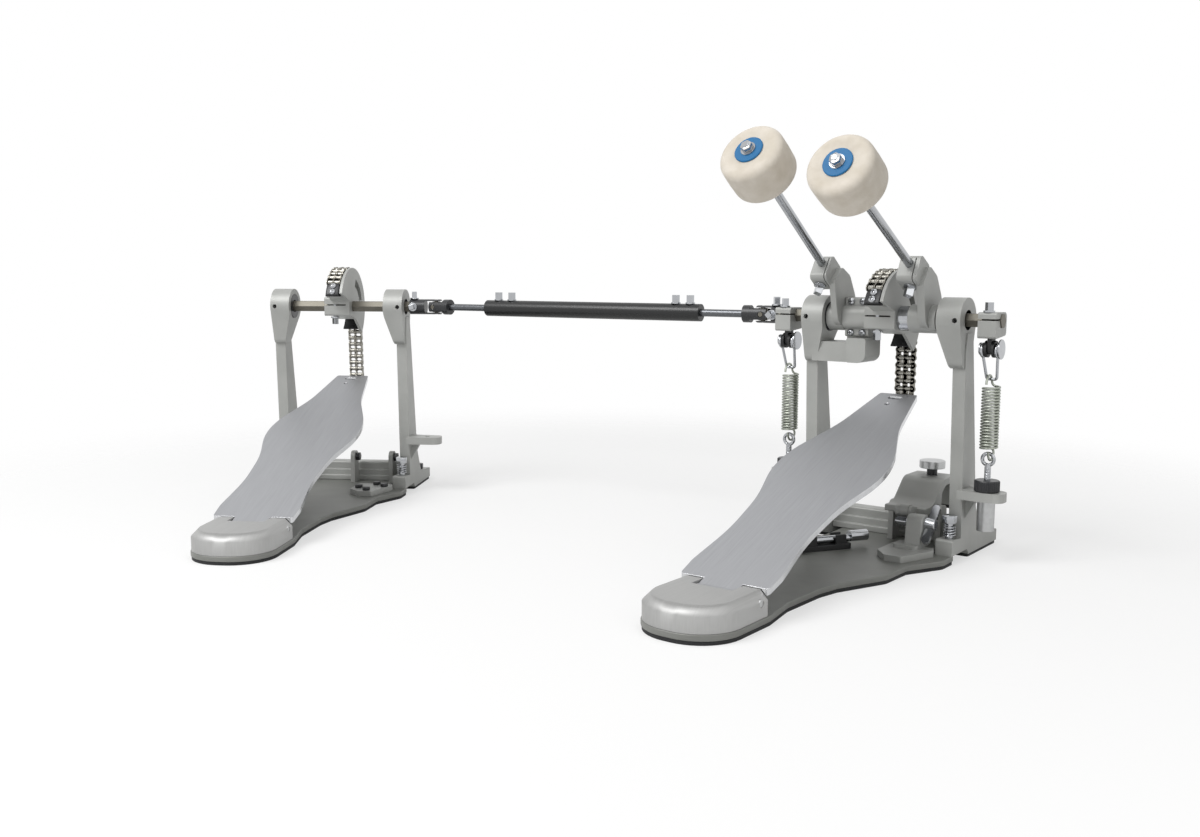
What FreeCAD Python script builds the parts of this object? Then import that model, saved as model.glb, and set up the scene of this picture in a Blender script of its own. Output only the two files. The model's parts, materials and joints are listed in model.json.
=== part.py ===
import FreeCAD, Part
import math
import os
from types import SimpleNamespace

from FreeCAD import Placement, Rotation, Vector

# Double bass drum pedal: a main pedal that clamps to the drum's hoop, a remote pedal set back and
# turned outwards on its left, and a jointed drive shaft between them. Millimetres, +X to the
# drummer's right, +Y towards the drum, +Z up. The origin is on the floor below the main axle.

SIZES = [
    ("axle_height", 187.0, "floor to the middle of both axles"),
    ("slave_x", -530.7, "remote pedal's origin across"),
    ("slave_y", -104.9, "remote pedal's origin along"),
    ("slave_turn", 32.0, "remote pedal's turn outwards, degrees"),
    ("run_gap", 0.06, "radial clearance of a running fit"),
    ("seat_gap", 0.05, "clearance of a seated or clamped fit"),
    ("air_gap", 0.3, "clearance between pieces that move past each other"),
    ("mat_thick", 2.6, "rubber floor mat"),
    ("plate_thick", 4.4, "base plate"),
    ("heel_half", 33.5, "half width of the heel block"),
    ("heel_front", -239.0, "front face of the heel block"),
    ("heel_rear", -303.0, "rear nose of the heel block"),
    ("heel_tall", 16.6, "height of the heel block"),
    ("heel_bevel", 6.0, "bevel along the heel block's upper edge"),
    ("pin_y", -246.5, "heel hinge pin along"),
    ("pin_z", 16.8, "heel hinge pin height"),
    ("pin_rad", 2.5, "heel hinge pin radius"),
    ("knuckle_rad", 5.2, "hinge knuckle radius on the footboard"),
    ("tab_half", 14.6, "half width of the footboard's hinge tab"),
    ("board_thick", 4.2, "footboard plate"),
    ("board_wide", 43.5, "half width of the footboard at its widest"),
    ("board_waist", 28.0, "half width of the footboard at its waist"),
    ("toe_half", 16.0, "half width of the footboard's toe"),
    ("toe_back", 6.0, "front edge of the toe behind the hanging chain"),
    ("toe_drop", 63.0, "main toe below the axle"),
    ("toe_low", 9.2, "how much lower the remote toe rests"),
    ("rib_deep", 6.0, "depth of the ribs under the footboard"),
    ("post_in", 54.0, "inner face of a post from the centre line"),
    ("post_out", 67.0, "outer face of a post from the centre line"),
    ("upright_in", 57.0, "inner face of a post's upright from the centre line"),
    ("boss_in", 47.3, "inner face of a bearing boss"),
    ("boss_rad", 17.0, "radius of a bearing boss"),
    ("foot_rear", -16.6, "rear face of a post's foot"),
    ("foot_front", 82.8, "front end of a post's foot"),
    ("foot_tall", 19.6, "top of the foot at its rear"),
    ("foot_low", 12.2, "top of the foot at its front"),
    ("ledge_out", 99.0, "outer end of a spring ledge"),
    ("ledge_top", 57.0, "top of a spring ledge"),
    ("ledge_thick", 7.0, "thickness of a spring ledge"),
    ("hex_flats", 10.0, "hexagon axle across its flats"),
    ("race_rad", 12.0, "outer radius of an axle bearing"),
    ("race_wide", 8.0, "width of an axle bearing"),
    ("chain_rad", 36.0, "radius of the chain's pins on the cam"),
    ("chain_x", 2.5, "middle of the chain across"),
    ("pitch", 6.35, "chain pitch"),
    ("row_pitch", 6.4, "distance between the chain's two rows"),
    ("roller_rad", 1.65, "chain roller radius"),
    ("plate_tall", 5.6, "height of a chain link plate"),
    ("link_thick", 0.75, "thickness of a chain link plate"),
    ("cam_wide", 15.4, "width of the cam's rim"),
    ("lining_thick", 1.4, "rubber lining on the cam's rim"),
    ("flange_thick", 2.6, "side wall of the cam"),
    ("flange_over", 2.0, "reach of the cam's side wall past the chain's pins"),
    ("beater_reach", 152.0, "socket to the far end of the beater rod"),
    ("rod_rad", 3.4, "beater rod radius"),
    ("felt_rad", 24.5, "beater felt radius"),
    ("felt_long", 33.0, "beater felt length along the rod"),
    ("spring_x", 85.0, "spring's axis from the centre line"),
    ("spring_y", 3.0, "spring's axis along"),
    ("coil_rad", 6.1, "mean radius of the spring's coils"),
    ("wire_rad", 0.9, "spring wire radius"),
    ("coil_step", 2.26, "rise of the spring in one turn"),
    ("hanger_long", 28.54, "lever pin to the top of the spring's coils"),
    ("coil_foot", 90.0, "height of the spring's lowest coil"),
    ("lever_drop", 21.0, "lever pin below the axle"),
    ("lever_in", 78.0, "inner face of a spring lever"),
    ("lever_wide", 14.0, "width of a spring lever"),
    ("joint_slave", 97.0, "remote universal joint from the remote centre line"),
    ("joint_main", 111.0, "main universal joint from the main centre line"),
    ("yoke_rad", 7.4, "universal joint radius"),
    ("tube_rad", 7.6, "drive tube radius"),
    ("drive_rad", 3.2, "drive rod radius"),
    ("lip_top", 8.6, "top of the lip under the drum's hoop"),
    ("beam_top", 26.0, "top of the cross beam"),
    ("beam_rear", 26.0, "rear face of the cross beam"),
    ("beam_front", 44.0, "front face of the cross beam"),
    ("rocker_left", 7.0, "left edge of the hoop clamp's rocker"),
    ("rocker_right", 41.0, "right edge of the hoop clamp's rocker"),
    ("rocker_thick", 5.0, "thickness of the rocker plate"),
    ("screw_rad", 2.0, "small screw shank radius"),
]

doc = FreeCAD.newDocument("double_pedal")
sheet = doc.addObject("Spreadsheet::Sheet", "Sizes")
for row, (alias, value, note) in enumerate(SIZES, start=1):
    sheet.set(f"A{row}", str(value))
    sheet.setAlias(f"A{row}", alias)
    sheet.set(f"B{row}", note)
doc.recompute()
S = SimpleNamespace(**{alias: float(sheet.get(alias)) for alias, value, note in SIZES})

MAIN = Placement()
SLAVE = Placement(Vector(S.slave_x, S.slave_y, 0), Rotation(Vector(0, 0, 1), S.slave_turn))
PLATE_TOP = S.mat_thick + S.plate_thick
TOE_Y = S.chain_rad - S.toe_back
TOE_Z = S.axle_height - S.toe_drop
HEX_RAD = S.hex_flats / math.sqrt(3)
HEX_CELL = "Sizes.hex_flats / sqrt(3)"
NODES = []


def bind(obj, **cells):
    """Tie each property of an object to an expression on the sheet."""
    for prop, expression in cells.items():
        obj.setExpression(prop, expression)
    return obj


def rounded(points):
    """Sketch edges of a closed outline; a third number on a point rounds that corner."""
    corners = [(Vector(p[0], p[1], 0), p[2] if len(p) > 2 else 0.0) for p in points]
    entries = []
    for i, (corner, radius) in enumerate(corners):
        before = (corners[i - 1][0] - corner).normalize()
        after = (corners[(i + 1) % len(corners)][0] - corner).normalize()
        if radius <= 0:
            entries.append((corner, None, corner))
            continue
        half = before.getAngle(after) / 2
        reach = radius / math.tan(half)
        middle = (before + after).normalize()
        top = corner + middle * (radius / math.sin(half) - radius)
        entries.append((corner + before * reach, top, corner + after * reach))
    edges = []
    for i, (start, top, end) in enumerate(entries):
        if top is not None:
            edges.append(Part.Arc(start, top, end))
        following = entries[(i + 1) % len(entries)][0]
        if end.distanceToPoint(following) > 1e-6:
            edges.append(Part.LineSegment(end, following))
    return edges


def sketch_on(body, name, role, offset, edges):
    """A sketch in a body's own origin plane, moved along the plane's normal."""
    sketch = body.newObject("Sketcher::SketchObject", name)
    plane = [f for f in body.Origin.OriginFeatures if f.Role == role][0]
    sketch.AttachmentSupport = [(plane, "")]
    sketch.MapMode = "FlatFace"
    sketch.AttachmentOffset = Placement(Vector(0, 0, offset), Rotation())
    sketch.addGeometry(edges, False)
    return sketch


def prism(name, role, edges, low, high, length=None):
    """A padded outline between two heights on the plane's axis."""
    body = doc.addObject("PartDesign::Body", name)
    start = -high if role == "XZ_Plane" else low
    sketch = sketch_on(body, name + "_outline", role, start, edges)
    pad = body.newObject("PartDesign::Pad", name + "_pad")
    pad.Profile = sketch
    pad.Length = high - low
    if length:
        bind(pad, Length=length)
    sketch.Visibility = False
    return body


def turned(name, points, start, direction):
    """A revolved profile of radius and height, its axis laid from a start along a direction."""
    body = doc.addObject("PartDesign::Body", name)
    sketch = sketch_on(body, name + "_profile", "XZ_Plane", 0, rounded(points))
    turn = body.newObject("PartDesign::Revolution", name + "_turn")
    turn.Profile = sketch
    turn.ReferenceAxis = (sketch, ["V_Axis"])
    turn.Angle = 360
    body.Placement = Placement(Vector(*start), Rotation(Vector(0, 0, 1), Vector(*direction)))
    return body


def rod(name, start, end, radius, cell=None):
    """A round bar between two points."""
    bar = doc.addObject("Part::Cylinder", name)
    along = Vector(*end) - Vector(*start)
    bar.Radius = radius
    if cell:
        bind(bar, Radius=cell)
    bar.Height = along.Length
    bar.Placement = Placement(Vector(*start), Rotation(Vector(0, 0, 1), along))
    return bar


def hexagon(name, start, end, radius, cell=None):
    """A six-sided bar between two points, one flat on top where the bar lies level."""
    bar = doc.addObject("Part::Prism", name)
    along = Vector(*end) - Vector(*start)
    bar.Polygon = 6
    bar.Circumradius = radius
    if cell:
        bind(bar, Circumradius=cell)
    bar.Height = along.Length
    level = Rotation(Vector(0, 0, 1), along)
    bar.Placement = Placement(Vector(*start), level.multiply(Rotation(Vector(0, 0, 1), 30)))
    return bar


def block(name, low, high):
    """A plain block between two corners."""
    box = doc.addObject("Part::Box", name)
    box.Length = high[0] - low[0]
    box.Width = high[1] - low[1]
    box.Height = high[2] - low[2]
    box.Placement.Base = Vector(*low)
    return box


def ring(name, start, end, inner, outer):
    """A round collar between two points."""
    return minus(name, rod(name + "_outer", start, end, outer), [rod(name + "_bore", start, end, inner)])


def plus(name, pieces):
    joined = doc.addObject("Part::MultiFuse", name)
    joined.Shapes = pieces
    joined.Refine = True
    return joined


def minus(name, base, tools):
    cut = doc.addObject("Part::Cut", name)
    cut.Base = base
    cut.Tool = tools[0] if len(tools) == 1 else group(name + "_tools", tools)
    return cut


def shared(name, one, other):
    common = doc.addObject("Part::MultiCommon", name)
    common.Shapes = [one, other]
    return common


def group(name, pieces):
    together = doc.addObject("Part::Compound", name)
    together.Links = pieces
    return together


def shaped(name, shape):
    piece = doc.addObject("Part::Feature", name)
    piece.Shape = shape
    return piece


def node(name, piece, frame=MAIN):
    """Register a finished sub-part under the name of its file, in its pedal's frame."""
    piece.Label = name
    piece.Placement = frame.multiply(piece.Placement)
    NODES.append((name, piece))
    return piece


# Base plates and floor mats, laid out in stations forward of the heel block's front

WAIST_REAR = 36.0
WAIST_FRONT = 80.0
FLARE_REAR = 99.0
FLARE_FRONT = 142.0
STEP_REAR = 175.0
STEP_FRONT = 207.0
FLARE_OVER = 17.0
BASE_LIP = 0.6
FOOT_SHELF = 5.1
FOOT_STEP = 36.0


def base_outline(inset=0.0):
    """Plan of the base: round heel, waist, then two flares out to the posts."""
    side = [
        (S.heel_half + BASE_LIP - inset, S.heel_front + 3),
        (S.board_waist + 0.5 - inset, S.heel_front + WAIST_REAR, 30),
        (S.board_waist + 1.5 - inset, S.heel_front + WAIST_FRONT, 30),
        (S.heel_half - 0.5 - inset, S.heel_front + FLARE_REAR, 6),
        (S.heel_half + FLARE_OVER - inset, S.heel_front + FLARE_FRONT, 14),
        (S.heel_half + FLARE_OVER + 1 - inset, S.heel_front + STEP_REAR, 6),
        (S.post_out - inset, S.heel_front + STEP_FRONT, 14),
        (S.post_out - inset, S.foot_rear + FOOT_SHELF - inset, 2),
        (S.post_in - 9 - inset, S.foot_rear + FOOT_SHELF - inset),
        (S.post_in - 9 - inset, S.beam_front - 2 - inset),
    ]
    nose = S.heel_half - 2.5
    rear = S.heel_rear - BASE_LIP + inset
    right = [(S.heel_half + BASE_LIP - inset, rear, nose)] + side
    left = [(-p[0],) + tuple(p[1:]) for p in reversed(right)]
    return rounded(right + left)


def placed(piece, frame):
    piece.Placement = frame.multiply(piece.Placement)
    return piece


def base_plate(name, frame):
    plate = prism(name, "XY_Plane", base_outline(), S.mat_thick, PLATE_TOP, "Sizes.plate_thick")
    return placed(plate, frame)


base_plates = [base_plate("main_base_plate", MAIN), base_plate("slave_base_plate", SLAVE)]
node("base_plates", group("base_plate_group", base_plates))


def foot_pad(name, side):
    """Rubber pad under the front of one post's foot."""
    near, far = sorted((side * (S.post_in + 1.4), side * (S.post_out - 0.4)))
    outline = rounded([
        (near, S.foot_rear + FOOT_STEP, 2), (far, S.foot_rear + FOOT_STEP, 2),
        (far, S.foot_front - 0.4, 3), (near, S.foot_front - 0.4, 3),
    ])
    return prism(name, "XY_Plane", outline, 0, S.mat_thick, "Sizes.mat_thick")


mats = []
for label, frame in (("main", MAIN), ("slave", SLAVE)):
    mat = prism(label + "_mat", "XY_Plane", base_outline(0.5), 0, S.mat_thick, "Sizes.mat_thick")
    mats.append(placed(mat, frame))
    for side, word in ((-1, "left"), (1, "right")):
        mats.append(placed(foot_pad(f"{label}_{word}_pad", side), frame))
node("floor_mats", group("floor_mat_group", mats))


# Heel blocks, their hinge pins and the footboards


def heel_block(name, frame):
    half = S.heel_half
    outline = rounded([
        (-half, S.heel_front), (-half, S.heel_rear, half - 3),
        (half, S.heel_rear, half - 3), (half, S.heel_front),
    ])
    body = prism(name + "_body", "XY_Plane", outline, PLATE_TOP, PLATE_TOP + S.heel_tall, "Sizes.heel_tall")
    doc.recompute()
    pad = body.Tip
    top = PLATE_TOP + S.heel_tall
    names = [
        f"Edge{i}" for i, edge in enumerate(pad.Shape.Edges, start=1)
        if edge.BoundBox.ZMin > top - 0.01 and edge.CenterOfMass.y < S.heel_front - 1
    ]
    bevel = body.newObject("PartDesign::Chamfer", name + "_bevel")
    bevel.Base = (pad, names)
    bind(bevel, Size="Sizes.heel_bevel")
    notch_half = S.tab_half + S.air_gap * 2
    notch = block(
        name + "_notch",
        (-notch_half, S.pin_y - S.knuckle_rad - 1.2, S.pin_z - S.knuckle_rad - 0.8),
        (notch_half, S.heel_front + 1, top + 1),
    )
    bore = rod(name + "_bore", (-half - 1, S.pin_y, S.pin_z), (half + 1, S.pin_y, S.pin_z),
               S.pin_rad + S.seat_gap, "Sizes.pin_rad + Sizes.seat_gap")
    return placed(minus(name, body, [notch, bore]), frame)


def heel_pin(name, frame):
    half = S.heel_half - 0.4
    pin = rod(name, (-half, S.pin_y, S.pin_z), (half, S.pin_y, S.pin_z), S.pin_rad, "Sizes.pin_rad")
    return placed(pin, frame)


heel_blocks = [heel_block("main_heel_block", MAIN), heel_block("slave_heel_block", SLAVE)]
node("heel_blocks", group("heel_block_group", heel_blocks))
node("heel_hinge_pins", group("heel_pin_group", [heel_pin("main_pin", MAIN), heel_pin("slave_pin", SLAVE)]))

BOARD_SLOPE = (TOE_Z - S.pin_z - 4.4) / (TOE_Y - S.pin_y)


def board_top(y):
    """Height of the footboard's upper face above a point on the floor."""
    return TOE_Z + BOARD_SLOPE * (y - TOE_Y)


def board_side(name, low_shift, high_shift, rear, front, half):
    """A slab that follows the footboard's slope, between two depths below its upper face."""
    outline = rounded([
        (rear, board_top(rear) - low_shift), (front, board_top(front) - low_shift),
        (front, board_top(front) - high_shift), (rear, board_top(rear) - high_shift),
    ])
    return prism(name, "YZ_Plane", outline, -half, half)


# Stations of the footboard's outline, forward of its wings and back from its toe
WING_FRONT = 16.0
NARROWEST = 56.0
SWELL_REAR = 98.0
BROADEST = 152.0
TOE_TAPER = 56.0
SLOT_BACK = 7.0
SLOT_HALF = (6.0, 2.2)


def footboard(name, frame):
    wing_rear = S.heel_front + 0.8
    side = [
        (S.tab_half, S.pin_y - 3.2), (S.tab_half, wing_rear), (S.heel_half, wing_rear, 2.5),
        (S.heel_half + 0.9, wing_rear + WING_FRONT, 20), (S.board_waist + 1.6, wing_rear + NARROWEST, 150),
        (S.board_waist + 4.5, wing_rear + SWELL_REAR, 120), (S.board_wide + 4.5, wing_rear + BROADEST, 85),
        (S.toe_half + 9.2, TOE_Y - TOE_TAPER, 120), (S.toe_half, TOE_Y, 2),
    ]
    mirrored = [(-p[0],) + tuple(p[1:]) for p in reversed(side)]
    plan = prism(name + "_plan", "XY_Plane", rounded(side + mirrored), 0, TOE_Z + 20)
    slab = board_side(name + "_slab", S.board_thick * 1.06, 0, S.pin_y - 6, TOE_Y + 1, S.board_wide + 5)
    plate = shared(name + "_plate", plan, slab)
    knuckle = rod(name + "_knuckle", (-S.tab_half, S.pin_y, S.pin_z), (S.tab_half, S.pin_y, S.pin_z),
                  S.knuckle_rad, "Sizes.knuckle_rad")
    ribs = []
    for side_sign in (-1, 1):
        rib = board_side(f"{name}_rib{side_sign + 1}", S.board_thick + S.rib_deep, S.board_thick - 0.5,
                         S.heel_front + 22, TOE_Y - 48, 2.0)
        rib.Placement.Base = Vector(side_sign * (S.toe_half - 1), 0, 0)
        ribs.append(rib)
    solid = plus(name + "_solid", [plate, knuckle] + ribs)
    bore = rod(name + "_bore", (-S.board_wide, S.pin_y, S.pin_z), (S.board_wide, S.pin_y, S.pin_z),
               S.pin_rad + S.run_gap, "Sizes.pin_rad + Sizes.run_gap")
    slot_y = TOE_Y - SLOT_BACK
    wide, long = SLOT_HALF
    bend = long - 0.1
    slot = prism(name + "_slot", "XY_Plane", rounded([
        (-wide, slot_y - long, bend), (wide, slot_y - long, bend), (wide, slot_y + long, bend),
        (-wide, slot_y + long, bend),
    ]), TOE_Z - 20, TOE_Z + 20)
    hole = rod(name + "_hole", (-2, slot_y - 11, TOE_Z - 20), (-2, slot_y - 11, TOE_Z + 20), S.screw_rad)
    return minus(name, solid, [bore, slot, hole])


BOARD_DROP = math.degrees(S.toe_low / (TOE_Y - S.pin_y))
LOWERED = Placement(Vector(0, 0, 0), Rotation(Vector(1, 0, 0), -BOARD_DROP), Vector(0, S.pin_y, S.pin_z))
SLAVE_BOARD = SLAVE.multiply(LOWERED)
node("main_footboard", footboard("main_footboard", MAIN))
node("slave_footboard", footboard("slave_footboard", SLAVE), SLAVE_BOARD)


# Posts, each with its foot, its bearing boss and where needed a ledge for a spring


BOSS_SHY = 0.8
CHIN_DROP = 37.0
CHIN_HALF = 8.0
CHIN_BEND = 6.0
STEM_REAR = 2.0
STEM_LEAN = -4.0
STEM_FRONT = 13.0
STEM_KNEE = (31.0, 40.0, 30.0)
STEM_TOE = 46.0
SET_SCREW_IN = 14.5
SPUR_X = S.post_out - 6
SPUR_Y = S.foot_rear + 9
SPUR_RAD = 3.0
EYE_RAD = 2.3
LEDGE_HALF = 9.0


def post_pieces(name, side):
    """The cast pieces of one post, as if on the right, mirrored by the sign of side."""
    near, far = sorted((side * S.post_in, side * S.post_out))
    stem_near, stem_far = sorted((side * S.upright_in, side * S.post_out))
    boss_near, boss_far = sorted((side * S.boss_in, side * (S.post_out - BOSS_SHY)))
    centre = S.axle_height
    foot_bottom = PLATE_TOP
    foot = prism(name + "_foot", "YZ_Plane", rounded([
        (S.foot_rear, foot_bottom), (S.foot_rear, S.foot_tall, 2), (S.foot_front, S.foot_low, 2),
        (S.foot_front, S.mat_thick), (S.foot_rear + FOOT_STEP, S.mat_thick),
        (S.foot_rear + FOOT_STEP - 3, foot_bottom),
    ]), near, far)
    upright = prism(name + "_upright", "YZ_Plane", rounded([
        (STEM_REAR, S.foot_low + 2), (STEM_LEAN, centre - 25), (STEM_LEAN + 2, centre - 10),
        (STEM_FRONT - 3, centre - 10), (STEM_FRONT, centre - 30), STEM_KNEE, (STEM_TOE, S.foot_low + 2),
    ]), stem_near, stem_far)
    round_end = rod(name + "_round_end", (boss_near, 0, centre), (boss_far, 0, centre),
                    S.boss_rad, "Sizes.boss_rad")
    chin = prism(name + "_chin", "YZ_Plane", rounded([
        (S.boss_rad - BOSS_SHY, centre - 5), (CHIN_HALF, centre - CHIN_DROP, CHIN_BEND),
        (-CHIN_HALF, centre - CHIN_DROP, CHIN_BEND), (-S.boss_rad + BOSS_SHY, centre - 5),
    ]), boss_near, boss_far)
    above = centre + S.boss_rad + 1
    below = centre - CHIN_DROP - 1
    outer = side * (S.post_out - BOSS_SHY)
    taper = prism(name + "_taper", "XZ_Plane", rounded([
        (side * S.boss_in, above), (side * S.boss_in, centre - 8, 30),
        (side * (S.upright_in - 1), below), (outer, below), (outer, above),
    ]), -S.boss_rad - 1, S.boss_rad + 1)
    boss = shared(name + "_boss", plus(name + "_teardrop", [round_end, chin]), taper)
    return [foot, upright, boss]


def ledge_pieces(name, side):
    """Ledge that holds a spring's eye bolt, with its gusset."""
    tip = side * S.ledge_out
    root = side * (S.post_out - 2)
    ledge = prism(name + "_ledge", "XY_Plane", rounded([
        (root, S.spring_y - LEDGE_HALF), (tip, S.spring_y - LEDGE_HALF, 7), (tip, S.spring_y + LEDGE_HALF, 7),
        (root, S.spring_y + LEDGE_HALF + 5),
    ]), S.ledge_top - S.ledge_thick, S.ledge_top, "Sizes.ledge_thick")
    gusset = prism(name + "_gusset", "XZ_Plane", rounded([
        (root, S.ledge_top - S.ledge_thick), (side * (S.post_out + 9), S.ledge_top - S.ledge_thick),
        (root, S.ledge_top - 28),
    ]), S.spring_y + 5, S.spring_y + 12)
    return [ledge, gusset]


def post_cuts(name, side):
    """Bearing seat, axle clearance, set-screw hole and spur hole."""
    inner = side * (S.boss_in - 1)
    outer = side * (S.post_out + 1)
    centre = S.axle_height
    seat = rod(name + "_seat", (inner, 0, centre), (side * (S.boss_in + S.race_wide), 0, centre),
               S.race_rad + S.seat_gap, "Sizes.race_rad + Sizes.seat_gap")
    through = rod(name + "_through", (inner, 0, centre), (outer, 0, centre), HEX_RAD + 2)
    screw_x = side * (S.boss_in + SET_SCREW_IN)
    screw = rod(name + "_set_hole", (screw_x, -S.boss_rad - 1, centre), (screw_x, -S.boss_rad + 5, centre),
                S.screw_rad)
    spur = rod(name + "_spur_hole", (side * SPUR_X, SPUR_Y, 0), (side * SPUR_X, SPUR_Y, S.foot_tall + 1),
               SPUR_RAD + S.seat_gap)
    return [seat, through, screw, spur]


ARM_TOP = S.axle_height - 20
ARM_DEEP = 16.0
ARM_REAR = -10.0
ARM_FRONT = 14.0
BLOCK_RISE = 3.6
CAP_LEFT = -33.0
CAP_RIGHT = -13.0
CAP_HALF = 15.6
BUSH_RAD = 7.4
BLOCK_LEFT = -27.0
BLOCK_RIGHT = -10.5


def centre_arm(name):
    """Arm from the main left post to the middle bearing, with its upturned block."""
    root = -S.upright_in - 2
    arm = prism(name + "_arm", "XZ_Plane", rounded([
        (root, ARM_TOP), (BLOCK_LEFT + 2, ARM_TOP), (BLOCK_LEFT + 2, ARM_TOP - ARM_DEEP),
        (root, ARM_TOP - ARM_DEEP),
    ]), ARM_REAR, ARM_FRONT)
    end_block = prism(name + "_end_block", "XZ_Plane", rounded([
        (BLOCK_LEFT, ARM_TOP - ARM_DEEP, 2), (BLOCK_LEFT, ARM_TOP + BLOCK_RISE, 2),
        (BLOCK_RIGHT, ARM_TOP + BLOCK_RISE, 2), (BLOCK_RIGHT, ARM_TOP - ARM_DEEP, 7),
    ]), -ARM_FRONT, ARM_FRONT)
    upright = prism(name + "_bearing_block", "YZ_Plane", rounded([
        (0, ARM_TOP - 2), (ARM_FRONT, ARM_TOP - 2), (ARM_FRONT, S.axle_height + CAP_HALF, 4),
        (0, S.axle_height + CAP_HALF),
    ]), CAP_LEFT, CAP_RIGHT)
    return [arm, end_block, upright]


def middle_bore(name):
    return rod(name, (CAP_LEFT - 1, 0, S.axle_height), (CAP_RIGHT + 1, 0, S.axle_height),
               BUSH_RAD + S.seat_gap)


def post(name, side, frame, ledge, arm):
    pieces = post_pieces(name, side)
    cuts = post_cuts(name, side)
    if ledge:
        pieces += ledge_pieces(name, side)
        cuts.append(rod(name + "_eye_hole", (side * S.spring_x, S.spring_y, S.ledge_top - 20),
                        (side * S.spring_x, S.spring_y, S.ledge_top + 1), EYE_RAD + S.seat_gap))
    if arm:
        pieces += centre_arm(name)
        cuts.append(middle_bore(name + "_middle_bore"))
    return placed(minus(name, plus(name + "_casting", pieces), cuts), frame)


node("main_left_post", post("left_casting", -1, MAIN, True, True))
node("main_right_post", post("right_casting", 1, MAIN, True, False))
slave_left = post("slave_left_casting", -1, SLAVE, False, False)
slave_right = post("slave_right_casting", 1, SLAVE, True, False)
node("slave_posts", group("slave_post_group", [slave_left, slave_right]))


def bearing(name, low, high, outer):
    """A bearing as its race ring, with the hexagon axle running in its bore."""
    return ring(name, (low, 0, S.axle_height), (high, 0, S.axle_height), HEX_RAD + S.run_gap, outer)


races = []
for label, frame in (("main", MAIN), ("slave", SLAVE)):
    for side, word in ((-1, "left"), (1, "right")):
        low, high = sorted((side * S.boss_in, side * (S.boss_in + S.race_wide - 0.1)))
        races.append(placed(bearing(f"{label}_{word}_race", low, high, S.race_rad), frame))
races.append(bearing("middle_bush", CAP_LEFT + 2, CAP_RIGHT - 2, BUSH_RAD))
node("axle_bearings", group("bearing_group", races))

CAP_PLATE = 4.0
CAP_SEAM = 0.2
BARREL_HALF = 9.6
BARREL_DEEP = BARREL_HALF + 0.6
BARREL_BEND = 7.0
cap_above = [
    (-CAP_SEAM, S.axle_height + CAP_HALF), (-CAP_PLATE, S.axle_height + CAP_HALF, 2),
    (-CAP_PLATE, S.axle_height + BARREL_HALF), (-BARREL_DEEP, S.axle_height + BARREL_HALF, BARREL_BEND),
]
cap_below = [(p[0], 2 * S.axle_height - p[1]) + tuple(p[2:]) for p in reversed(cap_above)]
cap = prism("cap_body", "YZ_Plane", rounded(cap_above + cap_below), CAP_LEFT, CAP_RIGHT)
node("centre_bearing_cap", minus("centre_bearing_cap", cap, [middle_bore("cap_bore")]))


# Cross beams: a stepped bar between the feet, with the lip that lies under the drum's hoop


def cross_beam(name, frame):
    half = S.post_in - S.seat_gap
    front_low = S.beam_front - 1.7
    first_step = PLATE_TOP + 5
    second_step = PLATE_TOP + 11
    outline = rounded([
        (S.beam_rear, PLATE_TOP), (S.beam_rear, first_step), (S.beam_rear + 2, first_step),
        (S.beam_rear + 2, second_step), (S.beam_rear + 4, second_step), (S.beam_rear + 4, S.beam_top, 2),
        (S.beam_front, S.beam_top, 2), (S.beam_front, S.lip_top, 3), (S.foot_front, S.lip_top, 2),
        (S.foot_front, S.mat_thick), (front_low, S.mat_thick), (front_low, PLATE_TOP),
    ])
    return placed(prism(name, "YZ_Plane", outline, -half, half), frame)


node("cross_beams", group("beam_group", [cross_beam("main_beam", MAIN), cross_beam("slave_beam", SLAVE)]))


# Axles, cams and chains

AXLE_RIGHT = S.lever_in + S.lever_wide + 1
MIDDLE = (CAP_LEFT + CAP_RIGHT) / 2
AXLE_GAP = 0.6
JOINT_SHORT = 12.0


def axle(name, low, high, frame):
    bar = hexagon(name, (low, 0, S.axle_height), (high, 0, S.axle_height), HEX_RAD, HEX_CELL)
    return node(name, bar, frame)


axle("main_axle", MIDDLE + AXLE_GAP, AXLE_RIGHT, MAIN)
axle("left_axle", -S.joint_main + JOINT_SHORT, MIDDLE - AXLE_GAP, MAIN)
axle("slave_axle", -S.post_out - 2, S.joint_slave - JOINT_SHORT, SLAVE)


def hex_bore(name, low, high):
    """Clearance for the hexagon axle through a piece that is clamped on it."""
    return hexagon(name, (low, 0, S.axle_height), (high, 0, S.axle_height), HEX_RAD + S.seat_gap)


CHAIN_SEAT = 0.4
RIM_RAD = S.chain_rad - S.plate_tall / 2 - CHAIN_SEAT - S.lining_thick
RIM_LOW = -47.0
RIM_HIGH = 161.0
CASTING_LOW = -20.0
CAM_LEFT = S.chain_x - S.cam_wide / 2
CAM_RIGHT = S.chain_x + S.cam_wide / 2
HUB_LEFT = CAP_RIGHT + 0.4
HUB_BOLT_X = -3.0
FLANGE_RIGHT = CAM_RIGHT + S.flange_thick
WINDOW_OUT = RIM_RAD - 3.4
WINDOW_IN = 20.0
WINDOW_SPAN = (12.0, 72.0)
CAM_BACK = ((-22.0, 9.0), (-12.0, 5.0), (-12.0, -8.0), (8.0, -13.0))
HUB_REAR = -13.0
HUB_FRONT = 11.0
HUB_HALF = 9.0
CLAMP_Y = -9.0


def on_rim(radius, degrees):
    """A point in the cam's plane, as distances along and above the axle."""
    return Vector(radius * math.cos(math.radians(degrees)),
                  S.axle_height + radius * math.sin(math.radians(degrees)), 0)


def rim_arc(radius, low, high):
    return Part.Arc(on_rim(radius, low), on_rim(radius, (low + high) / 2), on_rim(radius, high))


def closed(edges, corners):
    """Edges that run on from an arc through corners and back to its start."""
    path = [edges[-1].EndPoint] + corners + [edges[0].StartPoint]
    return edges + [Part.LineSegment(a, b) for a, b in zip(path, path[1:])]


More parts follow.
